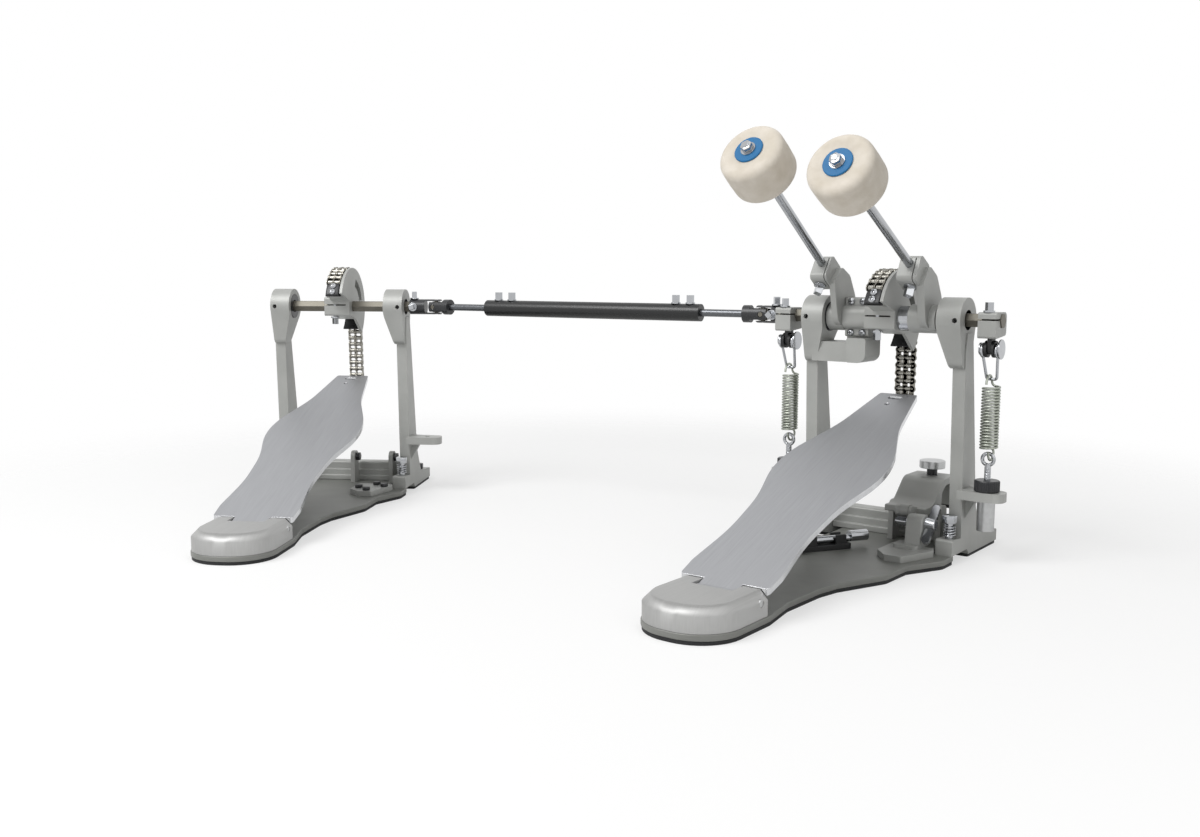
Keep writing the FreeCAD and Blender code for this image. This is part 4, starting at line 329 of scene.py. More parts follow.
# %% [markdown]
# ## Dressing the solids
# A machined or cast edge is never knife-sharp: the light along it tells the eye what it is made of. So
# each solid is copied, its triangles are merged back into flat faces, and its sharp edges get a small
# rounded bevel. A Bevel modifier could do the same, but with the bevel in the mesh its faces can later be
# given a second finish one by one. The copy stands for the solid, on the same body.


# %% Rounded copies of the solids
FLAT_ANGLE = math.radians(0.6)
SMOOTH_ANGLE = math.radians(34)
SHARP_DEGREES = 32
SAME_PLACE = 1e-6
body_of = {node: body for body, nodes in frame["record"]["behaviour"]["bodies"].items() for node in nodes}


def finish_piece(name, shape, material, body, stands_for=()):
    """Turn a bmesh into a smooth-shaded piece that rides on a body and stands for some solids."""
    mesh = bpy.data.meshes.new(name)
    shape.to_mesh(mesh)
    shape.free()
    mesh.polygons.foreach_set("use_smooth", [True] * len(mesh.polygons))
    mesh.set_sharp_from_angle(angle=SMOOTH_ANGLE)
    mesh.materials.append(material)
    piece = bpy.data.objects.new(name, mesh)
    bpy.context.scene.collection.objects.link(piece)
    if body:
        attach(piece, body)
    if stands_for:
        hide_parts(*stands_for)
    return piece


def merged(node):
    """A copy of a solid with its triangles joined into flat faces."""
    shape = bmesh.new()
    shape.from_mesh(frame["nodes"][node].data)
    bmesh.ops.remove_doubles(shape, verts=shape.verts, dist=SAME_PLACE)
    bmesh.ops.dissolve_limit(shape, angle_limit=FLAT_ANGLE, verts=shape.verts, edges=shape.edges)
    return shape


def rounded(shape, edges, round_mm):
    """Round some edges of a bmesh and hand it back."""
    bmesh.ops.bevel(shape, geom=edges, offset=round_mm * MM, offset_type="OFFSET", segments=2, profile=0.5,
                    affect="EDGES", clamp_overlap=True, material=-1)
    return shape


def dressed(node, material, round_mm, sharper_than=SHARP_DEGREES):
    """A solid's copy with its sharp edges rounded, in its finish."""
    shape = merged(node)
    limit = math.radians(sharper_than)
    sharp = [e for e in shape.edges if e.is_manifold and e.calc_face_angle(0.0) > limit]
    rounded(shape, sharp, round_mm)
    piece = finish_piece(node + "_dressed", shape, material, body_of[node], [node])
    weighted = piece.modifiers.new("even_shading", "WEIGHTED_NORMAL")
    weighted.keep_sharp = True
    return piece


def also(piece, material, belongs):
    """Give a second finish to the faces whose centre, in millimetres, and normal pass a test."""
    piece.data.materials.append(material)
    index = len(piece.data.materials) - 1
    for face in piece.data.polygons:
        if belongs(face.center / MM, face.normal):
            face.material_index = index


# %% Castings, base and rubber
CASTINGS = ["main_left_post", "main_right_post", "slave_posts", "centre_bearing_cap", "main_cam", "slave_cam",
            "right_beater_holder", "left_beater_holder", "clamp_hinge_bracket", "hoop_clamp_rocker",
            "clamp_brackets", "cross_beams"]
castings = {node: dressed(node, casting_paint, round_mm=0.7) for node in CASTINGS}
# The base's darker paint is painted shade.
dressed("base_plates", shaded_base_paint, round_mm=0.8)
for node in ("floor_mats", "hoop_clamp_pad", "main_cam_lining", "slave_cam_lining"):
    dressed(node, black_rubber, round_mm=0.3)
print("castings:", len(castings))

# %% [markdown]
# ### Footboards and heel blocks
# The plates' cut edges are polished, and their lighter tone is partly that polish and partly a painted
# highlight, so faces that do not look up or down get a second finish.
# The heel blocks of both pedals share one node, so the faces left of the gap between the pedals take the
# grain of the turned one. Their broad curves are shaded smooth up to a wider angle.

# %% Footboards and heel blocks
EDGE_SLOPE = 0.8
HEEL_SHARP_DEGREES = 50
HEEL_SMOOTH = math.radians(60)
BETWEEN_PEDALS = -250.0
boards = [dressed("main_footboard", main_brushed, round_mm=0.9),
          dressed("slave_footboard", slave_brushed, round_mm=0.9)]
for board in boards:
    also(board, polished_edge_highlight, lambda point, normal: abs(normal.z) < EDGE_SLOPE)
heels = dressed("heel_blocks", main_heel, round_mm=0.8, sharper_than=HEEL_SHARP_DEGREES)
heels.data.set_sharp_from_angle(angle=HEEL_SMOOTH)
also(heels, slave_heel, lambda point, normal: point.x < BETWEEN_PEDALS)
print("plates:", [board.name for board in boards], heels.name)

# %% Shafts, joints and bolts
for node in ("main_axle", "left_axle", "slave_axle", "slave_joint_cross", "main_joint_cross"):
    dressed(node, axle_steel, round_mm=0.3)
dressed("heel_hinge_pins", satin_steel, round_mm=0.3)
for node in ("slave_axle_yoke", "left_axle_yoke", "drive_yokes", "axle_bearings"):
    dressed(node, black_oxide, round_mm=0.35)
dressed("drive_tube", black_anodised, round_mm=0.6)
dressed("drive_rods", dark_steel, round_mm=0.3)
dressed("drum_key_clip", black_nylon, round_mm=0.6)
for node in ("main_key_bolts", "left_key_bolts", "slave_key_bolts", "drive_bolts", "drum_key",
             "hoop_clamp_wing_bolt", "right_spring_hanger", "left_spring_hanger"):
    dressed(node, chrome_plate, round_mm=0.35)
for node in ("main_toe_anchor", "slave_toe_anchor"):
    dressed(node, chain_plate, round_mm=0.12)

# %% [markdown]
# ### Pieces with two finishes
# Some solids are assemblies of their own: the spring levers carry black rollers and a plated disc on a
# painted casting, the thumb knob is a satin disc on a dark stem, and the eye bolts end in satin sleeves.
# The bore walls of the bearing seats in the posts are made black, as painted shade inside the bores. The
# solids could be split, but it is enough to give the second finish to the faces that lie in the right place.


# %% Levers, knob and eye bolts
AXLE_Z = 187.0
LEVER_PIN = (-1.5, AXLE_Z - 21.0)
ROLLER_REACH = 7.6
ROLLER_TOP = LEVER_PIN[1] + 6.5
DISC_INNER_FACE = 6.9
KNOB_STEM_TOP = 62.8
SLEEVE_TOP = 50.5
SPRING_X = 85.0


def from_axis(point, y, z):
    """Distance of a point from an axis along X, in millimetres."""
    return math.hypot(point.y - y, point.z - z)


for side, sign in (("right", 1), ("left", -1)):
    lever = dressed(side + "_spring_lever", casting_paint, round_mm=0.6)
    middle = sign * SPRING_X
    also(lever, black_nylon, lambda point, normal: from_axis(point, *LEVER_PIN) < ROLLER_REACH
         and abs(point.x - middle) < DISC_INNER_FACE and point.z < ROLLER_TOP)
    also(lever, chrome_plate, lambda point, normal: from_axis(point, *LEVER_PIN) < ROLLER_REACH
         and abs(point.x - middle) >= DISC_INNER_FACE)
knob = dressed("hoop_clamp_knob", satin_steel, round_mm=0.4)
also(knob, black_oxide, lambda point, normal: point.z < KNOB_STEM_TOP)
bolts = dressed("spring_eye_bolts", chrome_plate, round_mm=0.3)
also(bolts, satin_steel, lambda point, normal: point.z < SLEEVE_TOP)
print("two finishes:", lever.name, knob.name, bolts.name)

# %% Bearing seats
SLAVE_ORIGIN = Vector((-530.7, -104.9, 0))
BEARING_SEAT = 12.2
SEAT_WALL = 0.3
slave_place = Matrix.Translation(SLAVE_ORIGIN * MM) @ Matrix.Rotation(SLAVE_TURN, 4, "Z")
from_slave = slave_place.inverted()
along_slave = from_slave.to_3x3()
# Black on the bore walls round the axle is painted shade inside the bores.
for post in ("main_left_post", "main_right_post"):
    also(castings[post], black_oxide,
         lambda point, normal: from_axis(point, 0, AXLE_Z) < BEARING_SEAT and abs(normal.x) < SEAT_WALL)
also(castings["slave_posts"], black_oxide,
     lambda point, normal: from_axis(from_slave @ (point * MM) / MM, 0, AXLE_Z) < BEARING_SEAT
     and abs((along_slave @ normal).x) < SEAT_WALL)
print("bearing seats:", 2 * BEARING_SEAT, "mm across")

# %% [markdown]
# ## Beaters
# Each beater is a felt drum on a plated rod, with a blue disc at each end of the felt and a nut at the
# rod's end. Cylinders with bevels would do, but on a lathe one profile gives the felt its soft corners,
# its dished ends and its slight belly at once. A fine noise then lifts the felt's skin a little.


# %% Lathe helpers
SCREW_ROUND = 0.35


def spun(profile, steps=48):
    """A profile of (radius, height) pairs in millimetres spun round the Z axis."""
    shape = bmesh.new()
    points = [shape.verts.new((radius * MM, 0.0, height * MM)) for radius, height in profile]
    edges = [shape.edges.new(pair) for pair in zip(points, points[1:])]
    bmesh.ops.spin(shape, geom=points + edges, cent=(0, 0, 0), axis=(0, 0, 1), angle=2 * math.pi, steps=steps,
                   use_merge=True)
    bmesh.ops.remove_doubles(shape, verts=shape.verts, dist=SAME_PLACE)
    bmesh.ops.recalc_face_normals(shape, faces=shape.faces)
    return shape


def aim(start_mm, direction):
    """The matrix that stands a shape made along Z at a point, along a direction."""
    turn = Vector((0, 0, 1)).rotation_difference(Vector(direction)).to_matrix().to_4x4()
    return Matrix.Translation(Vector(start_mm) * MM) @ turn


def joined(shapes):
    """One bmesh out of several."""
    whole = bmesh.new()
    for shape in shapes:
        held = bpy.data.meshes.new("held")
        shape.to_mesh(held)
        shape.free()
        whole.from_mesh(held)
        bpy.data.meshes.remove(held)
    return whole


def placed(shape, matrix):
    """Move a whole bmesh by a matrix and hand it back."""
    bmesh.ops.transform(shape, matrix=matrix, verts=shape.verts)
    return shape


def hex_nut(across_mm, tall_mm):
    """A six-sided nut standing on the origin, its corners a little rounded."""
    shape = bmesh.new()
    corner = across_mm / math.sqrt(3)
    bmesh.ops.create_cone(shape, cap_ends=True, segments=6, radius1=corner * MM, radius2=corner * MM,
                          depth=tall_mm * MM)
    bmesh.ops.translate(shape, verts=shape.verts, vec=(0, 0, tall_mm / 2 * MM))
    return rounded(shape, shape.edges[:], SCREW_ROUND)


def arc_profile(centre, radius, start, end, count=8):
    """Points of an arc in a profile, angles in degrees."""
    steps = [math.radians(start + (end - start) * i / count) for i in range(count + 1)]
    return [(centre[0] + radius * math.cos(a), centre[1] + radius * math.sin(a)) for a in steps]


# %% Felts
SOCKET_Y = -20.0
SOCKET_Z = AXLE_Z + 40.0
ROD_REACH = 152.0
ROD_RADIUS = 3.4
ROD_PAST_FELT = 7.0
BORE = ROD_RADIUS + 0.05
FELT_RADIUS = 24.5
FELT_LONG = 33.0
FELT_CORNER = 6.0
FELT_FLAT = 8.0
FELT_DISH = 13.0
FELT_SAG = 0.25
FELT_BASE = ROD_REACH - ROD_PAST_FELT - FELT_LONG
FUZZ_WIDE = 3.0
FUZZ_DEEP = 0.05


def felt_drum(matrix):
    """A felt with soft corners and a fine fuzz, standing on a matrix."""
    rim = FELT_RADIUS - FELT_CORNER
    profile = [(BORE, 0.0), (FELT_FLAT, 0.0), (FELT_DISH, FELT_SAG)]
    profile += arc_profile((rim, FELT_CORNER), FELT_CORNER, -90, 0)
    profile += [(FELT_RADIUS + FELT_SAG, FELT_LONG / 2)]
    profile += arc_profile((rim, FELT_LONG - FELT_CORNER), FELT_CORNER, 0, 90)
    profile += [(FELT_DISH, FELT_LONG - FELT_SAG), (FELT_FLAT, FELT_LONG), (BORE, FELT_LONG)]
    felt = placed(spun(profile, steps=72), matrix)
    bmesh.ops.subdivide_edges(felt, edges=felt.edges, cuts=1, use_grid_fill=True)
    for vert in felt.verts:
        vert.co += vert.normal * (noise.noise(vert.co / (FUZZ_WIDE * MM)) * FUZZ_DEEP * MM)
    return felt


print("felt:", 2 * FELT_RADIUS, "mm across,", FELT_LONG, "mm long")

# %% Beaters with their discs, rods and nuts
DISC_RADIUS = 10.8
DISC_THICK = 1.2
DISC_EDGE = 0.8
DISC_CHAMFER = 0.5
ROD_TAIL = 14.0
ROD_STEP = 0.4
ROD_THREAD = 2.6
ROD_TIP = 0.5
WASHER_BORE = 2.7
WASHER_RADIUS = 5.6
WASHER_THICK = 0.7
ROD_NUT_ACROSS = 7.6
ROD_NUT_TALL = 4.2


def beater(side, body, x, lean_degrees):
    """The felt, discs, nut and rod of one beater."""
    lean = math.radians(lean_degrees)
    along = Vector((0, -math.sin(lean), math.cos(lean)))
    socket = Vector((x, SOCKET_Y, SOCKET_Z))
    base = socket + along * FELT_BASE
    top = socket + along * (FELT_BASE + FELT_LONG)
    finish_piece(side + "_felt_drum", felt_drum(aim(base, along)), cream_felt, body,
                 [side + "_beater_felt"])
    disc = [(BORE, 0.0), (DISC_RADIUS, 0.0), (DISC_RADIUS, DISC_EDGE),
            (DISC_RADIUS - DISC_CHAMFER, DISC_THICK), (BORE, DISC_THICK)]
    discs = [placed(spun(disc), aim(top, along)), placed(spun(disc), aim(base, -along))]
    finish_piece(side + "_blue_discs", joined(discs), blue_nylon, body)
    step = FELT_BASE + FELT_LONG + DISC_THICK
    rod = spun([(0, -ROD_TAIL), (ROD_RADIUS, -ROD_TAIL), (ROD_RADIUS, step), (ROD_THREAD, step + ROD_STEP),
                (ROD_THREAD, ROD_REACH - ROD_TIP), (ROD_THREAD - ROD_TIP, ROD_REACH), (0, ROD_REACH)])
    washer = spun([(WASHER_BORE, 0), (WASHER_RADIUS, 0), (WASHER_RADIUS, WASHER_THICK),
                   (WASHER_BORE, WASHER_THICK)])
    nut = hex_nut(ROD_NUT_ACROSS, ROD_NUT_TALL)
    steel_parts = [placed(rod, aim(socket, along)), placed(washer, aim(top + along * DISC_THICK, along)),
                   placed(nut, aim(top + along * (DISC_THICK + WASHER_THICK), along))]
    finish_piece(side + "_plated_rod", joined(steel_parts), chrome_plate, body,
                 [side + "_beater_rod"])


beater("right", "main_axle_set", x=28.0, lean_degrees=62.0)
beater("left", "left_axle_set", x=-45.0, lean_degrees=56.0)
print("beaters reach", ROD_REACH, "mm from their holders")

# %% [markdown]
# ## Springs
# A drawn spring is one wire. A ring could be spun along a screw path, but the hooks would then be pieces
# of their own. So one curve with a round bevel follows the coil and its two standing hooks. The curve is
# then made a mesh.

# %% Wire helpers
POINTS_PER_TURN = 16
CURVE_SHRINK = 0.66
SAME_WIRE_PLACE = 1e-7


def wire(name, points_mm, radius_mm, sides=3):
    """A smooth round wire along control points, as a mesh."""
    curve = bpy.data.curves.new(name + "_line", "CURVE")
    curve.dimensions = "3D"
    curve.bevel_depth = radius_mm * MM
    curve.bevel_resolution = sides
    curve.use_fill_caps = True
    spline = curve.splines.new("NURBS")
    spline.points.add(len(points_mm) - 1)
    for point, place in zip(spline.points, points_mm):
        point.co = (*(Vector(place) * MM), 1.0)
    spline.order_u = 4
    spline.use_endpoint_u = True
    spline.resolution_u = 3
    guide = bpy.data.objects.new(name + "_line", curve)
    mesh = bpy.data.meshes.new_from_object(guide)
    bpy.data.objects.remove(guide)
    bpy.data.curves.remove(curve)
    shape = bmesh.new()
    shape.from_mesh(mesh)
    bpy.data.meshes.remove(mesh)
    bmesh.ops.remove_doubles(shape, verts=shape.verts, dist=SAME_WIRE_PLACE)
    bmesh.ops.recalc_face_normals(shape, faces=shape.faces)
    return shape


def coil_points(x, y, foot, radius, step, turns):
    """Control points of a coil round an upright axis, set out a little, as the curve runs inside them."""
    count = int(turns * POINTS_PER_TURN)
    fuller = radius / (1 - (math.pi / POINTS_PER_TURN) ** 2 * CURVE_SHRINK)
    angles = [math.pi / 2 + 2 * math.pi * i / POINTS_PER_TURN for i in range(count + 1)]
    return [(x + fuller * math.cos(a), y + fuller * math.sin(a), foot + step * i / POINTS_PER_TURN)
            for i, a in enumerate(angles)]


# %% Coil springs
COIL_RADIUS = 6.1
COIL_STEP = 2.26
COIL_TURNS = 21
COIL_FOOT = 90.0
WIRE_RADIUS = 0.9
SPRING_Y = 3.0
HOOK_OFFSET = 1.8
# Each point of a hook: its share of the coil's radius towards the front, and its height off the coil.
HOOK_FRONT = [(1.0, 1.8), (1.0, 4.2), (0.62, 8.0)]
HOOK_TOP = [(0.0, 8.7)]
HOOK_BACK = [(-share, height) for share, height in reversed(HOOK_FRONT)]


def hook_points(x, level, rise):
    """Control points of a standing hook, from the coil's front over to its back."""
    return [(x, SPRING_Y + COIL_RADIUS * share, level + rise * height)
            for share, height in HOOK_FRONT + HOOK_TOP + HOOK_BACK]


def spring(side, x):
    """One wire with a hook in the eye bolt and a hook on the hanger, stretched between them."""
    top = COIL_FOOT + COIL_TURNS * COIL_STEP
    coil = coil_points(x, SPRING_Y, COIL_FOOT, COIL_RADIUS, COIL_STEP, COIL_TURNS)
    lower = list(reversed(hook_points(x + HOOK_OFFSET, COIL_FOOT, -1.0)))
    upper = hook_points(x - HOOK_OFFSET, top, 1.0)
    shape = wire(side + "_spring_wire", lower + coil + upper, WIRE_RADIUS)
    piece = finish_piece(side + "_spring_wire", shape, spring_wire, None, [side + "_spring"])
    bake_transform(piece)


spring("right", SPRING_X)
spring("left", -SPRING_X)
print("springs:", COIL_TURNS, "turns,", round(COIL_TURNS * COIL_STEP, 1), "mm long")

# %% [markdown]
# ### Spur screws
# Beside each post a pointed screw can be turned down into the floor. A small coil under its head keeps
# it from working loose. The stem comes off the lathe, the head is a hexagon, and the coil is a wire.

# %% Spur screws and their locking coils
SPUR_X = 61.0
SPUR_Y = -7.6
SPUR_SHANK = 2.9
SPUR_TIP = 2.8
SPUR_POINT_TOP = 6.8
SPUR_TOP = 32.0
SPUR_HEAD_FOOT = 31.4
SPUR_HEAD_ACROSS = 10.0
SPUR_HEAD_TALL = 6.0
LOCK_FOOT = 20.6
LOCK_RADIUS = 4.3
LOCK_STEP = 2.1
LOCK_TURNS = 4.5
LOCK_WIRE = 0.6
spur_shapes = []
for place in (Matrix.Identity(4), slave_place):
    for x in (-SPUR_X, SPUR_X):
        stem = spun([(0, SPUR_TIP), (SPUR_SHANK, SPUR_POINT_TOP), (SPUR_SHANK, SPUR_TOP), (0, SPUR_TOP)],
                    steps=24)
        head = hex_nut(SPUR_HEAD_ACROSS, SPUR_HEAD_TALL)
        bmesh.ops.translate(head, verts=head.verts, vec=(0, 0, SPUR_HEAD_FOOT * MM))
        coil = wire("spur_coil", coil_points(0, 0, LOCK_FOOT, LOCK_RADIUS, LOCK_STEP, LOCK_TURNS), LOCK_WIRE)
        spur_shapes.append(placed(joined([stem, head, coil]),
                                  place @ Matrix.Translation(Vector((x, SPUR_Y, 0)) * MM)))
finish_piece("spur_screws", joined(spur_shapes), chrome_plate, "frame", ["floor_spurs"])
print("spurs:", len(spur_shapes))

# %% [markdown]
# ## Knurled nuts and threads
# A finger nut under each spring sets its pull. Its rim is cut with straight knurls: a lathe shape whose
# every second column is pressed inwards. The eye bolt's thread is a fine wire wound on its shank, drawn a
# little coarser than the real pitch so that it shows.

# %% Knurled nuts and threads
NUT_FOOT = 57.0
NUT_TALL = 9.0
NUT_RADIUS = 9.5
NUT_CHAMFER = 0.8
KNURLS = 36
KNURL_DEEP = 0.05
KNURL_RIM = NUT_RADIUS - 0.1
SHANK_RADIUS = 2.3
SHANK_FIT = 0.05
THREAD_FOOT = NUT_FOOT + NUT_TALL + 0.3
THREAD_PITCH = 1.0
THREAD_TURNS = 9.5
THREAD_WIRE = 0.3
nut_shapes = []
thread_shapes = []
for x in (-SPRING_X, SPRING_X):
    bore = SHANK_RADIUS + SHANK_FIT
    nut = spun([(bore, 0.0), (NUT_RADIUS - NUT_CHAMFER, 0.0), (NUT_RADIUS, NUT_CHAMFER),
                (NUT_RADIUS, NUT_TALL - NUT_CHAMFER), (NUT_RADIUS - NUT_CHAMFER, NUT_TALL),
                (bore, NUT_TALL)], steps=2 * KNURLS)
    for vert in nut.verts:
        column = round(math.atan2(vert.co.y, vert.co.x) / (math.pi / KNURLS))
        if column % 2 and vert.co.xy.length > KNURL_RIM * MM:
            vert.co.xy *= 1 - KNURL_DEEP
    nut_shapes.append(placed(nut, aim((x, SPRING_Y, NUT_FOOT), (0, 0, 1))))
    thread = coil_points(x, SPRING_Y, THREAD_FOOT, SHANK_RADIUS - SHANK_FIT, THREAD_PITCH, THREAD_TURNS)
    thread_shapes.append(wire("eye_thread", thread, THREAD_WIRE, sides=1))
finish_piece("knurled_nuts", joined(nut_shapes), black_oxide, "frame", ["spring_knurled_nuts"])
finish_piece("eye_bolt_threads", joined(thread_shapes), chrome_plate, "frame")
print("knurls:", KNURLS)

# %% [markdown]
# ## Roller chains
# Each pedal has a duplex chain: two rows of rollers held by waisted link plates. An array along a curve
# could lay the links, but not exactly on their pins. So one plate outline is extruded and
# laid between every pair of pins. The part on the cam turns with the axle, the straight part hinges on
# it, and one joining link at its end closes the loop at the toe.

# %% Chain helpers
CHAIN_X = 2.5
CHAIN_RADIUS = 36.0
PITCH = 6.35
ROW = 6.4
LINK_THICK = 0.75
LINK_HALF = 2.8
WAIST_DEGREES = 50
INNER_PLATE = 0.8
PIN_RADIUS = 1.0
PIN_PROUD = 0.65
ROLLER_BORE = 1.12
ROLLER_RADIUS = 2.0
ROLLER_GAP = 1.2
BAR_SIDES = 14
LEAVE_ANGLE = math.radians(27.5)
PIN_LINK_PLATES = (-ROW, 0.0, ROW)
ROLLER_LINK_PLATES = (-ROW + INNER_PLATE, -INNER_PLATE, INNER_PLATE, ROW - INNER_PLATE)


def link_plate(start, end, x):
    """A waisted plate between two pins, all in millimetres, centred on a plane across the axle."""
    length = (end - start).length
    far_turn = 180 - WAIST_DEGREES
    outline = arc_profile((0, 0), LINK_HALF, WAIST_DEGREES, 360 - WAIST_DEGREES)
    outline += arc_profile((length, 0), LINK_HALF, -far_turn, far_turn)
    shape = bmesh.new()
    face = shape.faces.new([shape.verts.new((-LINK_THICK / 2 * MM, across * MM, along * MM))
                            for along, across in outline])
    bmesh.ops.extrude_face_region(shape, geom=[face])
    far = [vert for vert in shape.verts if vert not in set(face.verts)]
    bmesh.ops.translate(shape, verts=far, vec=(LINK_THICK * MM, 0, 0))
    bmesh.ops.recalc_face_normals(shape, faces=shape.faces)
    return placed(shape, Matrix.Translation(Vector((x, 0, 0)) * MM) @ aim(start, (end - start).normalized()))


def cross_bar(pin, low, high, radius, bore=0.0):
    """A round bar along X at a pin, or a sleeve if it has a bore."""
    profile = [(bore, low), (radius, low), (radius, high), (bore, high)]
    if bore:
        profile.append(profile[0])
    return placed(spun(profile, steps=BAR_SIDES), aim((0, pin.y, pin.z), (1, 0, 0)))


def chain_shapes(pins, pin_link_first):
    """Plates and rollers of a chain. The first pin is the hinge that two chains share: the one that starts
    with a pin link has its bar, and the other one has its rollers."""
    plates, rollers = [], []
    for i, (start, end) in enumerate(zip(pins, pins[1:])):
        pin_link = (i % 2 == 0) == pin_link_first
        offsets = PIN_LINK_PLATES if pin_link else ROLLER_LINK_PLATES
        plates += [link_plate(start, end, CHAIN_X + offset) for offset in offsets]
    for i, pin in enumerate(pins):
        if i > 0 or pin_link_first:
            reach = ROW + PIN_PROUD
            plates.append(cross_bar(pin, CHAIN_X - reach, CHAIN_X + reach, PIN_RADIUS))
        if i > 0 or not pin_link_first:
            rollers += [cross_bar(pin, CHAIN_X + row + ROLLER_GAP, CHAIN_X + row + ROW - ROLLER_GAP,
                                  ROLLER_RADIUS, ROLLER_BORE) for row in (-ROW, 0.0)]
    return plates, rollers


def chain_pin(count, lean):
    """A pin counted in pitches down from the one where the straight run hinges on the cam."""
    angle = LEAVE_ANGLE - count * PITCH / CHAIN_RADIUS
    held = max(angle, lean)
    rim = Vector((0, math.cos(held), math.sin(held))) * CHAIN_RADIUS + Vector((0, 0, AXLE_Z))
    return rim + Vector((0, math.sin(lean), -math.cos(lean))) * ((held - angle) * CHAIN_RADIUS)


# %% Chains of both pedals
CAM_LINKS = 11
RUN_LINKS = {"main": 13, "slave": 14}
RUN_LEAN = {"main": 0.0, "slave": math.radians(2.4)}
HEEL_PIN = Vector((0, -246.5, 16.8))
TOE_PIN = Vector((0, 31.5, 116.96))
TOE_LOWER = 9.2
TOE_LOWER_AT = 30.0
BOARD_TURN = {"main": 0.0, "slave": -TOE_LOWER / (TOE_LOWER_AT - HEEL_PIN.y)}
PEDAL_PLACE = {"main": Matrix.Identity(4), "slave": slave_place}
for label in ("main", "slave"):
    place = PEDAL_PLACE[label]
    lean = RUN_LEAN[label]
    count = RUN_LINKS[label]
    stretches = [("cam_chain", "axle_set", [chain_pin(-i, lean) for i in range(CAM_LINKS + 1)], True),
                 ("chain_run", "chain", [chain_pin(i, lean) for i in range(count + 1)], False)]
    for stretch, body, pins, pin_link_first in stretches:
        plates, rollers = chain_shapes(pins, pin_link_first)
        finish_piece(f"{label}_{stretch}_plates", placed(joined(plates), place), chain_plate,
                     f"{label}_{body}", [f"{label}_{stretch}"])
        finish_piece(f"{label}_{stretch}_rollers", placed(joined(rollers), place), roller_steel,
                     f"{label}_{body}")
    last = chain_pin(count, lean)
    toe = HEEL_PIN + Matrix.Rotation(BOARD_TURN[label], 3, "X") @ (TOE_PIN - HEEL_PIN)
    plates = [link_plate(last, toe, CHAIN_X + offset) for offset in PIN_LINK_PLATES]
    finish_piece(label + "_joining_link", placed(joined(plates), place), chain_plate, label + "_chain")
    print(label, "chain:", CAM_LINKS + count, "links, last gap", round((toe - last).length, 2), "mm")

# %% [markdown]
# ## Screws that show
# The middle bearing's cap is held by four plated pan-heads with a cross recess, and each chain's end is
# pinned to its cam by two more, through a black keeper plate. A pan-head is a low dome off the lathe. Its
# recess is not cut: a black cross let into the dome is painted shade standing for the dark inside of the
# recess, and keeps the mesh clean. The other frame screws are black hexagons and keep their solids.

# %% Hexagon screws
CAP_SCREWS_ABOVE = 100.0
HEX_SHARPER = math.radians(40)
hexagons = merged("frame_screws")
high_up = [face for face in hexagons.faces if face.calc_center_median().z > CAP_SCREWS_ABOVE * MM]
bmesh.ops.delete(hexagons, geom=high_up, context="FACES")
rims = [edge for edge in hexagons.edges if edge.calc_face_angle(0.0) > HEX_SHARPER]
rounded(hexagons, rims, SCREW_ROUND)
finish_piece("hexagon_screws", hexagons, black_oxide, "frame", ["frame_screws"])
print("hexagon rims rounded:", len(rims), "edges")

# %% Pan-heads on the bearing cap
CAP_SCREWS = [(x, AXLE_Z + z) for x in (-28.0, -18.0) for z in (12.4, -12.4)]
CAP_FACE = -4.05
HEAD_RADIUS = 2.9
HEAD_TALL = 2.2
HEAD_SIDE = 0.9
HEAD_SHOULDER = 1.7
CROSS_LONG = 3.2
CROSS_WIDE = 0.7
CROSS_TALL = 0.8
CROSS_MIDDLE = HEAD_TALL - 0.35


def block(size_mm):
    """A box centred on the origin."""
    shape = bmesh.new()
    bmesh.ops.create_cube(shape, size=1.0)
    bmesh.ops.scale(shape, vec=Vector(size_mm) * MM, verts=shape.verts)
    return shape


def pan_head(matrix):
    """A pan-head and a black cross let into it as painted shade for its recess, standing on a matrix."""
    dome = spun([(HEAD_RADIUS, 0.0), (HEAD_RADIUS, HEAD_SIDE), (HEAD_RADIUS * 0.8, HEAD_SHOULDER),
                 (HEAD_RADIUS * 0.4, HEAD_TALL), (0, HEAD_TALL)], steps=24)
    recess_shade_bars = [block((CROSS_WIDE, CROSS_LONG, CROSS_TALL)), block((CROSS_LONG, CROSS_WIDE, CROSS_TALL))]
    sunk = matrix @ Matrix.Translation((0, 0, CROSS_MIDDLE * MM))
    return placed(dome, matrix), placed(joined(recess_shade_bars), sunk)


# Each black cross is painted shade standing for a screw's recess.
heads, recess_shades = zip(*[pan_head(aim((x, CAP_FACE, z), (0, -1, 0))) for x, z in CAP_SCREWS])
finish_piece("cap_screw_heads", joined(heads), chrome_plate, "frame")
finish_piece("cap_screw_recess_shade", joined(recess_shades), black_oxide, "frame")
print("cap screws:", len(CAP_SCREWS))

